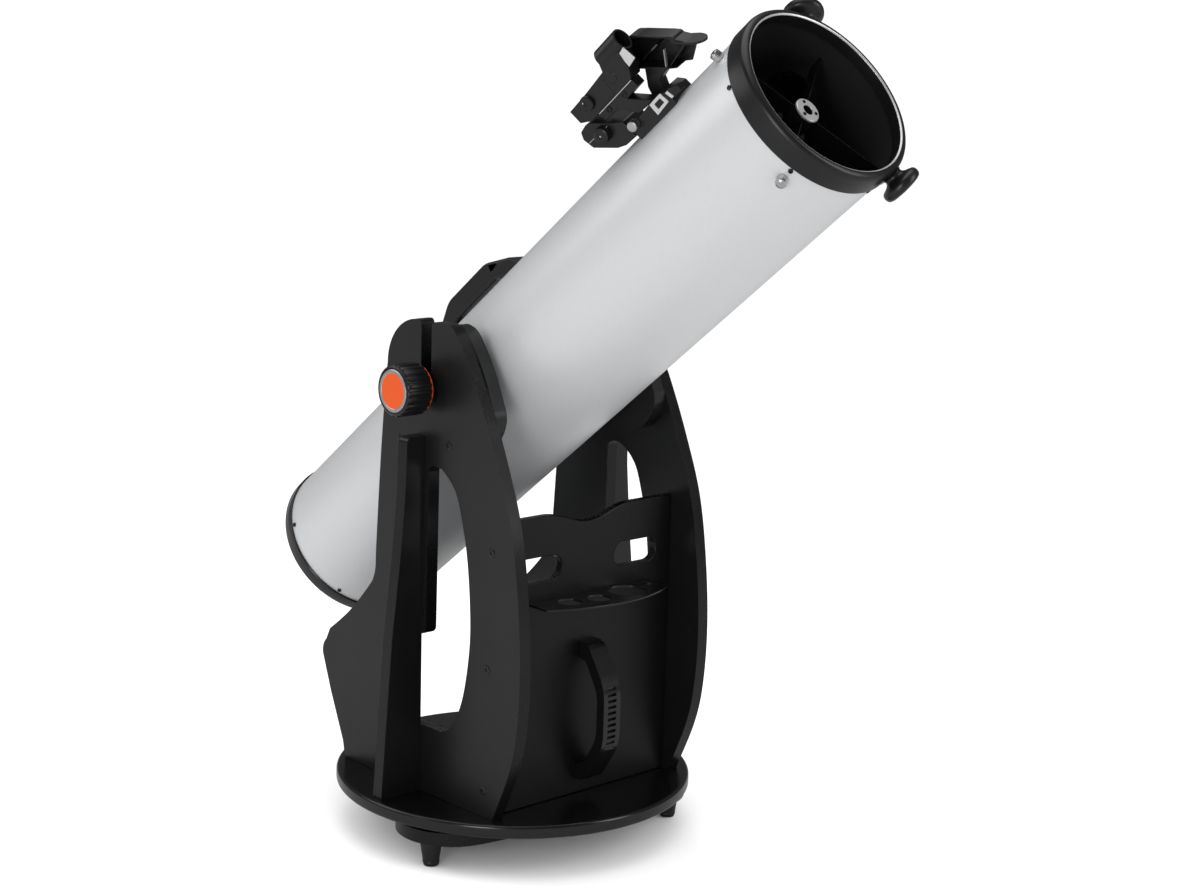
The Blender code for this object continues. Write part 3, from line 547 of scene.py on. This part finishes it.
def make_front_fittings():
    """Eyepiece rack with its bowed front edge, and the grab handle with a ribbed grip."""
    back = FRONT_FACE - GAP
    top = high_z("eyepiece_rack")
    bow_radius = 0.2235
    bow_centre = -0.2125 + bow_radius
    reach = math.asin(0.110 / bow_radius)
    bow = arc((0, bow_centre), bow_radius, -math.pi / 2 - reach, -math.pi / 2 + reach, 48)
    holes = [circle((x, y), radius, 48) for x, y, radius in (
        (-0.0585, -0.170, 0.016), (-0.0140, -0.178, 0.016), (0.0430, -0.172, 0.0255), (0.0915, -0.166, 0.004),
    )]
    plate(
        "eyepiece_rack_look", [(-0.110, back), *bow, (0.110, back)], top - 0.003, top, "Z", ROCKER,
        (BLACK_METAL,), "rocker", ("eyepiece_rack",), holes, 0.0009,
    )
    grip = rounded([
        (back, 0.096, 0), (-0.160, 0.096, 0.020), (-0.195, 0.150, 0.070), (-0.195, 0.232, 0.070),
        (-0.160, 0.286, 0.020), (back, 0.286, 0), (back, 0.264, 0), (-0.157, 0.262, 0.012),
        (-0.1815, 0.222, 0.050), (-0.1815, 0.160, 0.050), (-0.157, 0.120, 0.012), (back, 0.118, 0),
    ], 16)
    handle = plate(
        "grab_handle_look", grip, -0.015, 0.015, "X", ROCKER, (GLOSS_PLASTIC,), "rocker",
        ("grab_handle",), (), 0.0055, segments=5,
    )
    for i in range(11):
        z = 0.1455 + 0.0082 * i
        groove = [(-0.198, z), (-0.1905, z), (-0.1905, z + 0.0040), (-0.198, z + 0.0040)]
        cut(handle, tool(slab(bmesh.new(), groove, -0.0075, 0.0075, "X"), ROCKER))


# ---- tube ----
def make_tube():
    """Painted tube, end rings, handle, and steering grips."""
    wall = 0.0012
    front = 0.6355
    rear = -0.460
    shell = turned("tube_shell_look", [
        (TUBE_RADIUS, rear), (TUBE_RADIUS, -0.2), (TUBE_RADIUS, 0.1), (TUBE_RADIUS, 0.4),
        (TUBE_RADIUS, front), (TUBE_RADIUS - wall, front), (TUBE_RADIUS - wall, 0.1),
        (TUBE_RADIUS - wall, rear),
    ], TUBE, (TUBE_SILVER, TUBE_BLACK), "tube", ("tube_shell",), 160, bands=[0, 0, 0, 0, 1, 1, 1, 1])
    hole = lathe(bmesh.new(), [(0, 0.09), (0.028, 0.09), (0.028, 0.14), (0, 0.14)], 48)
    cut(shell, tool(hole, FOCUSER))

    lip = front + GAP
    sleeve = TUBE_RADIUS + 0.0004
    # The satin band on the inner lip of the black ring is a painted highlight: a thin bright line along its
    # lit edge.
    turned("front_ring_look", [
        (sleeve, 0.6210), (RING_RADIUS - 0.0006, 0.6210), (RING_RADIUS, 0.6218), (RING_RADIUS, 0.6450),
        (RING_RADIUS - 0.0005, 0.6472), (RING_RADIUS - 0.0016, 0.6490), (RING_RADIUS - 0.0030, 0.6505),
        (RING_RADIUS - 0.0045, 0.6513), (0.1120, 0.6519), (0.1100, 0.652), (0.1088, 0.6515), (0.1080, 0.6505),
        (0.1078, 0.6490), (0.1078, lip), (sleeve, lip),
    ], TUBE, (PLASTIC, SATIN), "tube", ("front_ring",), 160, bands=[0] * 9 + [1, 1] + [0] * 4)
    low = -0.467
    rim = low + 0.0067
    turned("rear_ring_look", [
        (sleeve, -0.4464), (sleeve, rim), (0.104, rim), (0.104, low + 0.001), (0.105, low),
        (RING_RADIUS - 0.0034, low), (RING_RADIUS - 0.0012, low + 0.0012), (RING_RADIUS, low + 0.004),
        (RING_RADIUS, -0.4472), (RING_RADIUS - 0.0006, -0.4464),
    ], TUBE, (GLOSS_PLASTIC,), "tube", ("rear_ring",), 160)
    for k in range(6):
        bearing = math.radians(45 + 60 * k)
        out = (math.sin(bearing), math.cos(bearing), 0)
        for end, s in (("front", 0.6165), ("rear", -0.4405)):
            seat = TUBE @ about(Vector(out) * (TUBE_RADIUS - 0.0003) + Vector((0, 0, s)), out)
            socket_screw(f"ring_screw_{end}_{k + 1}", seat, 0.0030, 0.0024, "tube")

    foot = TUBE_RADIUS + GAP
    bow = rounded([
        (foot, -0.100, 0), (0.140, -0.086, 0.02), (0.161, -0.048, 0.04), (0.161, 0.048, 0.04),
        (0.140, 0.096, 0.02), (foot, 0.118, 0), (foot, 0.082, 0), (0.1305, 0.056, 0.012),
        (0.1305, -0.046, 0.012), (foot, -0.068, 0),
    ], 12)
    plate(
        "tube_handle_look", bow, -0.018, 0.018, "X", TUBE, (PLASTIC,), "tube", ("tube_handle",), (), 0.004,
        segments=5,
    )
    for i, bearing in enumerate((math.radians(24), math.radians(150))):
        out = (math.sin(bearing), math.cos(bearing), 0)
        where = TUBE @ about(Vector(out) * (RING_RADIUS + GAP) + Vector((0, 0, GRIP_PLACE)), out)
        turned(f"steering_grip_{i + 1}_look", [
            (0, 0), (0.0122, 0), (0.0124, 0.0005), (0.0113, 0.0018), (0.0112, 0.0035), (0.0122, 0.0056),
            (0.0150, 0.0076), (0.0192, 0.0093), (0.0225, 0.0108), (0.0241, 0.0128), (0.0246, 0.0152),
            (0.0246, 0.0176), (0.0240, 0.0200), (0.0224, 0.0220), (0.0194, 0.0232), (0.0150, 0.0238),
            (0.0135, 0.0238), (0.0122, 0.0236), (0.0118, 0.0230), (0.0098, 0.0230), (0.0092, 0.0238),
            (0.0060, 0.0242), (0, 0.0242),
        ], where, (RUBBER,), "tube", (f"steering_grip_{i + 1}",), 96)


def make_spider():
    """Hub with its adjusting screws, thin vanes, and the nuts that hold them outside."""
    shape = bmesh.new()
    lathe(shape, [
        (0, 0.586), (0.0125, 0.586), (0.0160, 0.588), (0.0165, 0.590), (0.0165, 0.6145), (0.0161, 0.6162),
        (0.0152, 0.617), (0.0070, 0.617), (0.0066, 0.6163), (0.0066, 0.610), (0, 0.610),
    ], 64, bands=[0, 0, 0, 0, 1, 1, 1, 1, 0, 0, 0])
    place("spider_look", shape, TUBE, (BLACK_METAL, SATIN), "tube", ("spider",))
    for i in range(4):
        bearing = math.radians(45 + 90 * i)
        out = Vector((math.sin(bearing), math.cos(bearing), 0))
        strip = [(0.0160, 0.5925), (0.1135, 0.5925), (0.1135, 0.6105), (0.0160, 0.6105)]
        turn = TUBE @ Matrix.Rotation(-bearing, 4, "Z")
        plate(f"vane_{i + 1}_look", strip, -0.0004, 0.0004, "X", turn, (BLACK_METAL,), "tube", (), (), 0.0002)
        where = TUBE @ about(out * (TUBE_RADIUS + GAP) + Vector((0, 0, VANE_PLACE)), out)
        turned(f"vane_nut_{i + 1}_look", [
            (0, -0.0018), (0.0022, -0.0018), (0.0022, 0), (0.0060, 0), (0.0066, 0.0006), (0.0067, 0.0012),
            (0.0067, 0.0088), (0.0062, 0.0098), (0.0048, 0.0104), (0.0040, 0.0110), (0, 0.0110),
        ], where, (CHROME,), "tube", (f"vane_nut_{i + 1}",), 60,
            ribs=lambda a, r, h: r - 0.0004 * (0.5 + 0.5 * math.cos(20 * a)) if r > 0.0064 else r)
    for i in range(3):
        spot = Vector((0.0112 * math.sin(i * 2.0944), 0.0112 * math.cos(i * 2.0944), 0.6166))
        socket_screw(f"secondary_screw_{i + 1}", TUBE @ Matrix.Translation(spot), 0.0022, 0.0014, "tube")
    dress(MIRROR, "primary_mirror", "secondary_mirror")
    dress(BLACK_METAL, "mirror_cell", "secondary_holder", bevel=0.0006)
    dress(STEEL, "collimation_spring_1", "collimation_spring_2", "collimation_spring_3")


def knurl(count, depth, inner):
    """Rib pattern for the rim of a knob, applied outside the inner radius."""
    def ribs(angle, radius, height):
        wave = math.cos(count * angle)
        return radius - depth * (1 - min(1, max(0, 1.2 * wave + 0.6))) if radius > inner else radius
    return ribs


def make_knobs():
    """Ribbed tension knobs with an orange cap in a silver ring, and the collimation knobs."""
    for side, sign in (("left", -1), ("right", 1)):
        where = about(PIVOT, (sign, 0, 0))
        base = PANEL_OUTER + GAP
        skirt = base + 0.012
        end = base + 0.054
        profile = [
            (0, 0.140), (0.006, 0.140), (0.006, base), (0.0192, base), (0.0200, base + 0.0008),
            (0.0200, skirt - 0.0006), (0.0300, skirt), (0.0312, skirt + 0.0006), (0.0314, skirt + 0.0026),
            (0.0332, skirt + 0.0034), (0.0340, skirt + 0.0052), (0.0340, end - 0.0062),
            (0.0335, end - 0.0038), (0.0322, end - 0.0018), (0.0302, end - 0.0006),
            (0.0288, end - 0.0004), (0.0283, end - 0.0014), (0, end - 0.0014),
        ]
        turned(
            f"tension_knob_{side}_look", profile, where, (PLASTIC, ORANGE), f"tension_knob_{side}_body",
            (f"tension_knob_{side}",), 288, ribs=knurl(22, 0.0016, 0.0331),
            bands=[0, 0, 0, 0, 0, 0, 1, 1, 0, 0, 0, 0, 0, 0, 0, 0, 0, 0],
        )
        turned(f"tension_cap_{side}", [
            (0, end - 0.0014), (0.0276, end - 0.0014), (0.0276, end - 0.0005), (0.0268, end), (0.0236, end),
            (0.0230, end - 0.0004), (0, end - 0.0004),
        ], where, (ORANGE, CHROME), f"tension_knob_{side}_body", (), 96, bands=[0, 1, 1, 1, 1, 0, 0])
    for i in range(3):
        bearing = math.radians(30 + 120 * i)
        spot = Vector((0.078 * math.sin(bearing), 0.078 * math.cos(bearing), -0.4598))
        turned(f"collimation_knob_{i + 1}_look", [
            (0, -0.016), (0.0085, -0.016), (0.0098, -0.0155), (0.0105, -0.0145), (0.0105, -0.0018),
            (0.0098, -0.0005), (0.0085, 0), (0.0028, 0), (0.0028, 0.018), (0, 0.018),
        ], TUBE @ Matrix.Translation(spot), (PLASTIC,), f"collimation_knob_{i + 1}_body",
            (f"collimation_knob_{i + 1}",), 144, ribs=knurl(18, 0.0009, 0.0100))
    dress(PLASTIC, "altitude_bearing_left", "altitude_bearing_right")


# ---- focuser ----
def make_focuser():
    """Drawtube, knobs, and eyepiece on the far side of the tube."""
    dress(PLASTIC, "focuser_base", bevel=0.0008)
    turned("drawtube_look", [
        (0.0282, 0.1185), (0.0282, 0.168), (0.0318, 0.168), (0.0325, 0.1687), (0.0325, 0.1845),
        (0.0318, 0.1865), (0.0300, 0.188), (0.0170, 0.188), (0.0163, 0.1873), (0.0163, 0.162),
        (0.0262, 0.160), (0.0262, 0.1185),
    ], FOCUSER, (BLACK_METAL, CHROME, TUBE_BLACK), "focuser_drawtube_body", ("focuser_drawtube",), 144,
        ribs=lambda a, r, h: r - 0.0005 * (h < 0.1845) * (0.5 + 0.5 * math.cos(36 * a)) if r > 0.0324 else r,
        bands=[1, 0, 0, 0, 0, 0, 0, 0, 2, 2, 2, 0])
    rubber = [(0.0196 + 0.0004 * (k % 2), 0.1950 + 0.0015 * k) for k in range(13)]
    turned("eyepiece_look", [
        (0, 0.1635), (0.0158, 0.1635), (0.0158, 0.1888), (0.0186, 0.1888), (0.0190, 0.1893),
        (0.0199, 0.1915), *rubber, (0.0194, 0.2150), (0.0175, 0.2240), (0.0168, 0.2300), (0.0160, 0.2320),
        (0.0135, 0.2320), (0.0120, 0.2310), (0.0110, 0.2275), (0, 0.2270),
    ], FOCUSER, (RUBBER, CHROME, LENS), "eyepiece_body", ("eyepiece",), 72,
        bands=[1, 1] + [0] * 23 + [2, 0])
    screw = FOCUSER @ Matrix.Translation((0, 0, 0.177)) @ Matrix.Rotation(-math.pi / 2, 4, "Y")
    turned("clamp_screw_look", [
        (0, 0.0328), (0.0052, 0.0328), (0.0059, 0.0334), (0.0060, 0.0350), (0.0060, 0.0435), (0.0054, 0.0448),
        (0.0045, 0.045), (0, 0.045),
    ], screw, (CHROME,), "eyepiece_clamp_screw_body", ("eyepiece_clamp_screw",), 96,
        ribs=lambda a, r, h: r - 0.0004 * (0.5 + 0.5 * math.cos(20 * a)) if r > 0.00595 else r)
    axle = FOCUSER @ Matrix.Translation((0, 0.052, 0.141)) @ Matrix.Rotation(math.pi / 2, 4, "Y")
    half = [
        (0.004, 0.027), (0.0138, 0.027), (0.0150, 0.0275), (0.0160, 0.0290), (0.0160, 0.0440),
        (0.0152, 0.0460), (0.0138, 0.047), (0.0110, 0.047), (0.0105, 0.0462), (0, 0.0462),
    ]
    turned(
        "focus_knobs_look", [(r, -z) for r, z in reversed(half)] + half, axle, (BLACK_METAL, CHROME),
        "focus_knobs_body", ("focus_knobs",), 144, ribs=knurl(24, 0.0009, 0.0155),
    )


# ---- finder and phone dock ----
def side_knob(name, spot, profile, finish, body, node, count):
    """Round knob whose axis points out of the finder group's left side."""
    where = FINDER @ Matrix.Translation(spot) @ Matrix.Rotation(-math.pi / 2, 4, "Y")
    edge = max(r for r, _ in profile) - 0.0003

    def ribs(angle, radius, height):
        return radius - 0.0005 * (0.5 + 0.5 * math.cos(count * angle)) if radius > edge else radius
    return turned(name, profile, where, (finish,), body, (node,), 96, ribs=ribs)


def make_finder():
    """Shoe with its steel clip, the railed bracket, and the red-dot finder."""
    shoe = plate("finder_shoe_look", [
        (0.100, 0.447), (0.1313, 0.4445), (0.1313, 0.4667), (0.1340, 0.4954), (0.1340, 0.5100),
        (0.1260, 0.5175), (0.100, 0.5180),
    ], NEAR, 0.014, "X", FINDER, (PLASTIC,), "tube", ("finder_shoe",), (), 0.0010)
    saddle = lathe(bmesh.new(), [(0, 0.3), (0.1163, 0.3), (0.1163, 0.6), (0, 0.6)], 160)
    cut(shoe, tool(saddle, TUBE))
    hook = slab(bmesh.new(), [
        (0.1180, 0.5150), (0.1300, 0.5130), (0.1300, 0.5240), (0.1255, 0.5349), (0.1180, 0.5353),
    ], NEAR, NEAR + 0.013, "X")
    cut(shoe, tool(hook, FINDER), "UNION")
    clip = rounded([
        (0.1325, 0.4895, 0.001), (0.1330, 0.5110, 0.001), (0.1190, 0.5125, 0.001), (0.1170, 0.4885, 0.001),
    ])
    clip_hole = [(0.1290, 0.4950), (0.1293, 0.5068), (0.1222, 0.5075), (0.1212, 0.4945)]
    plate("shoe_clip", clip, NEAR - 0.0016, NEAR, "X", FINDER, (SATIN,), "tube", (), [clip_hole], 0.0003)
    strip = [(0.1290, 0.5165), (0.1290, 0.5205), (0.1190, 0.5225), (0.1190, 0.5185)]
    plate("shoe_strip", strip, NEAR - 0.0012, NEAR + 0.010, "X", FINDER, (SATIN,), "tube", (), (), 0.0003)
    side_knob("shoe_lock_look", (NEAR - GAP, 0.1290, 0.4565), [
        (0, 0), (0.0062, 0), (0.0068, 0.0008), (0.0068, 0.0100), (0.0062, 0.0110), (0.0050, 0.0115),
        (0, 0.0115),
    ], CHROME, "shoe_lock_screw_body", "shoe_lock_screw", 20)
    plate("finder_bracket_look", [
        (0.1343, 0.4690), (0.1343, 0.4940), (0.1565, 0.4705), (0.1573, 0.4934), (0.1687, 0.4934),
        (0.1687, 0.4258), (0.1573, 0.4258), (0.1560, 0.4516),
    ], NEAR + 0.002, NEAR + 0.021, "X", FINDER, (PLASTIC,), "tube", ("finder_bracket",), (), 0.0007)
    for i, s in enumerate((0.4405, 0.4710)):
        seat = FINDER @ Matrix.Translation((NEAR + 0.0021, 0.1630, s)) @ Matrix.Rotation(-math.pi / 2, 4, "Y")
        socket_screw(f"rail_screw_{i + 1}", seat, 0.0042, 0.0016, "tube", RECESS_PAINTED_SHADE)
    # Satin sliver along the bracket's top edge: a painted highlight line.
    rail_painted_highlight = [(0.1676, 0.4265), (0.1676, 0.4928), (0.1686, 0.4928), (0.1686, 0.4265)]
    plate("rail_painted_highlight", rail_painted_highlight, NEAR + 0.0012, NEAR + 0.0022, "X", FINDER, (SATIN,), "tube", (), (), 0.0002)

    body = plate("finder_body_look", [
        (0.1690, 0.4119), (0.1690, 0.4951), (0.1795, 0.5038), (0.2010, 0.5085), (0.2100, 0.4780),
        (0.1988, 0.4724), (0.1961, 0.4344), (0.1951, 0.3987), (0.1767, 0.3984),
    ], NEAR, NEAR + 0.025, "X", FINDER, (PLASTIC,), "tube", ("finder_body",), (), 0.0020)
    sight = FINDER @ Matrix.Translation((FINDER_SIDE, 0.2090, 0))
    hood = lathe(bmesh.new(), [(0, 0.478), (0.0140, 0.478), (0.0140, 0.517), (0, 0.517)], 64)
    cut(body, tool(hood, sight), "UNION")
    bore = lathe(bmesh.new(), [(0, 0.47), (0.0115, 0.47), (0.0115, 0.53), (0, 0.53)], 64)
    cut(body, tool(bore, sight))
    pivot_seat = FINDER @ Matrix.Translation((NEAR, 0.1870, 0.4760)) @ Matrix.Rotation(-math.pi / 2, 4, "Y")
    turned("finder_side_disc", [
        (0, -0.001), (0.0076, -0.001), (0.0076, 0.0003), (0.0070, 0.0007), (0, 0.0007),
    ], pivot_seat, (PLASTIC,), "tube", (), 64)
    cover = [(0.1705, 0.4300), (0.1705, 0.4640), (0.1940, 0.4640), (0.1940, 0.4300)]
    plate("finder_cover", cover, NEAR - 0.0006, NEAR + 0.001, "X", FINDER, (PLASTIC,), "tube", (), (), 0.0004)
    window = [(0.2010, 0.5170), (0.1822, 0.5190), (0.1800, 0.5050), (0.1990, 0.5060)]
    plate(
        "finder_window", window, NEAR + 0.0002, NEAR + 0.0022, "X", FINDER, (SATIN,), "tube", (), (), 0.0004,
    )
    dress(LENS, "finder_lens", bevel=0.0003)
    side_knob("finder_switch_look", (NEAR - GAP, 0.1869, 0.4275), [
        (0, 0), (0.0095, 0), (0.0095, 0.0030), (0.0090, 0.0046), (0.0080, 0.0055), (0.0028, 0.0055),
        (0.0022, 0.0048), (0, 0.0048),
    ], PLASTIC, "finder_switch_body", "finder_switch", 28)
    pip = FINDER @ Matrix.Translation((NEAR - 0.0054, 0.1905, 0.4250)) @ Matrix.Rotation(-math.pi / 2, 4, "Y")
    turned("switch_mark", [(0, 0), (0.0009, 0), (0.0009, 0.0004), (0, 0.0004)], pip, (WHITE_GLIDE,),
           "finder_switch_body", (), 24)


def make_dock():
    """Phone dock: base with its knob, arm, and the open scoop with its mirror and ribs."""
    plate("dock_base_look", [
        (0.1182, 0.4438), (0.1420, 0.4438), (0.1517, 0.4288), (0.1684, 0.4085), (0.1710, 0.4000),
        (0.1690, 0.3885), (0.1600, 0.3835), (0.1452, 0.3861), (0.1238, 0.4123), (0.1191, 0.4241),
    ], NEAR, 0.012, "X", FINDER, (PLASTIC,), "tube", ("dock_base",), (), 0.0016)
    # Thin grey plate along the dock base's edge: a painted highlight line.
    ledge = [(0.1520, 0.3885), (0.1505, 0.4240), (0.1517, 0.4240), (0.1532, 0.3885)]
    plate("dock_ledge", ledge, NEAR - 0.0025, NEAR + 0.001, "X", FINDER, (PAINTED_HIGHLIGHT_GREY,), "tube", (), (), 0.0003)
    side_knob("dock_adjust_look", (NEAR - GAP, 0.1480, 0.4130), [
        (0, 0), (0.0092, 0), (0.0104, 0.002), (0.0105, 0.0075), (0.0098, 0.0092), (0.0085, 0.010),
        (0.0032, 0.010), (0.0027, 0.009), (0, 0.009),
    ], PLASTIC, "dock_adjust_knob_body", "dock_adjust_knob", 24)
    pin = FINDER @ Matrix.Translation((NEAR - 0.0093, 0.1480, 0.4130)) @ Matrix.Rotation(-math.pi / 2, 4, "Y")
    turned("dock_knob_pin", [(0, 0), (0.0016, 0), (0.0013, 0.0008), (0, 0.0010)], pin, (CHROME,),
           "dock_adjust_knob_body", (), 32)
    plate("dock_arm_look", [
        (0.1343, 0.4760), (0.1343, 0.4954), (0.1455, 0.5010), (0.1480, 0.5150), (0.1507, 0.5165),
        (0.1682, 0.4975), (0.1500, 0.4820),
    ], DOCK_SIDE - 0.009, DOCK_SIDE + 0.009, "X", FINDER, (PLASTIC,), "tube", ("dock_arm",), (), 0.0010)
    half = 0.013
    scoop = plate("dock_scoop_look", [
        (0, 0), (0, 0.042), (0.0037, 0.0689), (0.0237, 0.0768), (0.0332, 0.0810), (0.0360, 0.0700),
        (0.0380, 0.0600), *arc((0.0348, 0.0563), 0.0060, math.pi / 2, 0, 6),
        *arc((0.0288, 0.0073), 0.0120, 0, -math.pi / 2, 8),
    ], -half, half, "X", DOCK, (PLASTIC,), "tube", ("dock_scoop",), (), 0.0006, segments=2)
    hollow = slab(bmesh.new(), [
        (0.0025, 0.0025), (0.0025, 0.090), (0.0330, 0.090), (0.0330, 0.0560), (0.0383, 0.0550),
        (0.0383, 0.0095), (0.0345, 0.0030), (0.0285, -0.0018),
    ], -0.040, half - 0.0025, "X")
    tongue = [*arc((0.001, 0.0790), 0.0165, 0, math.pi, 40), (-0.0125, 0.0560), (0.0125, 0.0560)]
    cut(scoop, tool(hollow, DOCK))
    plate("dock_tongue", tongue, 0.0322, 0.0350, "Y", DOCK, (PLASTIC,), "tube", (), (), 0.0006)
    # The rib's grey is a painted highlight that stands for the light it catches.
    plate("dock_rib", [(0.0025, 0.0440), (0.0025, 0.0456), (0.0240, 0.0456), (0.0240, 0.0440)],
          -half + 0.0012, -half + 0.0060, "X", DOCK, (PAINTED_HIGHLIGHT_GREY,), "tube", (), (), 0.0002)
    plate("dock_inner_wall", [(0.0025, 0.0480), (0.0025, 0.0496), (0.0322, 0.0740), (0.0322, 0.0718)],
          -half + 0.004, half - 0.0025, "X", DOCK, (PLASTIC,), "tube", (), (), 0.0002)
    plate("dock_roof", [(0.0396, 0.0120), (0.0396, 0.0520), (0.0408, 0.0520), (0.0408, 0.0120)],
          -half - 0.0009, half + 0.0009, "X", DOCK, (PLASTIC,), "tube", (), (), 0.0003)
    dress(DOCK_GLASS, "dock_mirror")


# ---- studio ----
def make_studio():
    """White floor, soft area lights, and the camera."""
    shape = bmesh.new()
    corners = [shape.verts.new((x, y, -0.0002)) for x, y in ((-14, -14), (14, -14), (14, 14), (-14, 14))]
    shape.faces.new(corners)
    paper = surface(
        "paper", (0.985, 0.985, 0.985), 0.85, shade=0.004, grain=60, bump=0.0, Specular_IOR_Level=0.1,
    )
    nodes, links = paper.node_tree.nodes, paper.node_tree.links
    shade = nodes.new("ShaderNodeBsdfDiffuse")
    shade.inputs["Color"].default_value = (0.42, 0.42, 0.42, 1)
    mirrored = nodes.new("ShaderNodeMixShader")
    links.new(nodes.new("ShaderNodeLightPath").outputs["Is Glossy Ray"], mirrored.inputs["Fac"])
    links.new(nodes["Principled BSDF"].outputs["BSDF"], mirrored.inputs[1])
    links.new(shade.outputs["BSDF"], mirrored.inputs[2])
    links.new(mirrored.outputs["Shader"], nodes["Material Output"].inputs["Surface"])
    place("floor", shape, Matrix.Identity(4), (paper,), None)

    world = bpy.data.worlds.new("studio")
    bpy.context.scene.world = world
    world.use_nodes = True
    nodes, links = world.node_tree.nodes, world.node_tree.links
    dim = nodes["Background"]
    dim.inputs["Color"].default_value = (1, 1, 1, 1)
    dim.inputs["Strength"].default_value = 0.13
    bright = nodes.new("ShaderNodeBackground")
    bright.inputs["Color"].default_value = (1, 1, 1, 1)
    bright.inputs["Strength"].default_value = 1.07
    choose = nodes.new("ShaderNodeMixShader")
    links.new(nodes.new("ShaderNodeLightPath").outputs["Is Glossy Ray"], choose.inputs["Fac"])
    links.new(bright.outputs["Background"], choose.inputs[1])
    links.new(dim.outputs["Background"], choose.inputs[2])
    links.new(choose.outputs["Shader"], nodes["World Output"].inputs["Surface"])

    def area(name, spot, aim, size, power):
        light = bpy.data.lights.new(name, "AREA")
        light.shape = "RECTANGLE"
        light.size, light.size_y = size
        light.energy = power
        lamp = bpy.data.objects.new(name, light)
        bpy.context.scene.collection.objects.link(lamp)
        lamp.location = spot
        lamp.rotation_euler = (Vector(aim) - Vector(spot)).to_track_quat("-Z", "Y").to_euler()

    area("key", (1.6, -3.0, 1.9), (0, 0, 0.6), (1.0, 2.4), 36)
    area("fill", (-3.2, 0.6, 1.6), (0, 0, 0.5), (0.6, 2.2), 4)
    area("side", (-3.0, -1.6, 0.9), (0, 0, 0.7), (1.0, 1.6), 38)
    area("sweep", (-1.5, 1.6, 1.5), (-1.2, 1.3, 0), (1.6, 1.6), 12)
    area("top", (0.0, 0.3, 3.6), (0, 0, 0.4), (3.0, 3.0), 45)

    bpy.context.scene.view_settings.view_transform = "Standard"
    turn, rise, roll = math.radians(-42.218), math.radians(10.781), math.radians(1.41)
    ahead = Vector((-math.sin(turn) * math.cos(rise), math.cos(turn) * math.cos(rise), -math.sin(rise)))
    right = Vector((math.cos(turn), math.sin(turn), 0))
    up = right.cross(ahead)
    side = right * math.cos(roll) + up * math.sin(roll)
    over = up * math.cos(roll) - right * math.sin(roll)
    lens = bpy.data.cameras.new("camera")
    lens.sensor_width = 36
    lens.lens = 62.80
    lens.shift_x = 0.0418
    lens.shift_y = 0.0017
    camera_place = Vector((-1.8398, -2.0884 + AXIS_Y, 1.0491))
    camera = bpy.data.objects.new("camera", lens)
    bpy.context.scene.collection.objects.link(camera)
    pose = Matrix((side, over, -ahead)).transposed().to_4x4()
    pose.translation = camera_place
    camera.matrix_world = pose
    bpy.context.scene.camera = camera


make_ground()
make_rocker()
make_front_fittings()
make_tube()
make_spider()
make_knobs()
make_focuser()
make_finder()
make_dock()
make_studio()
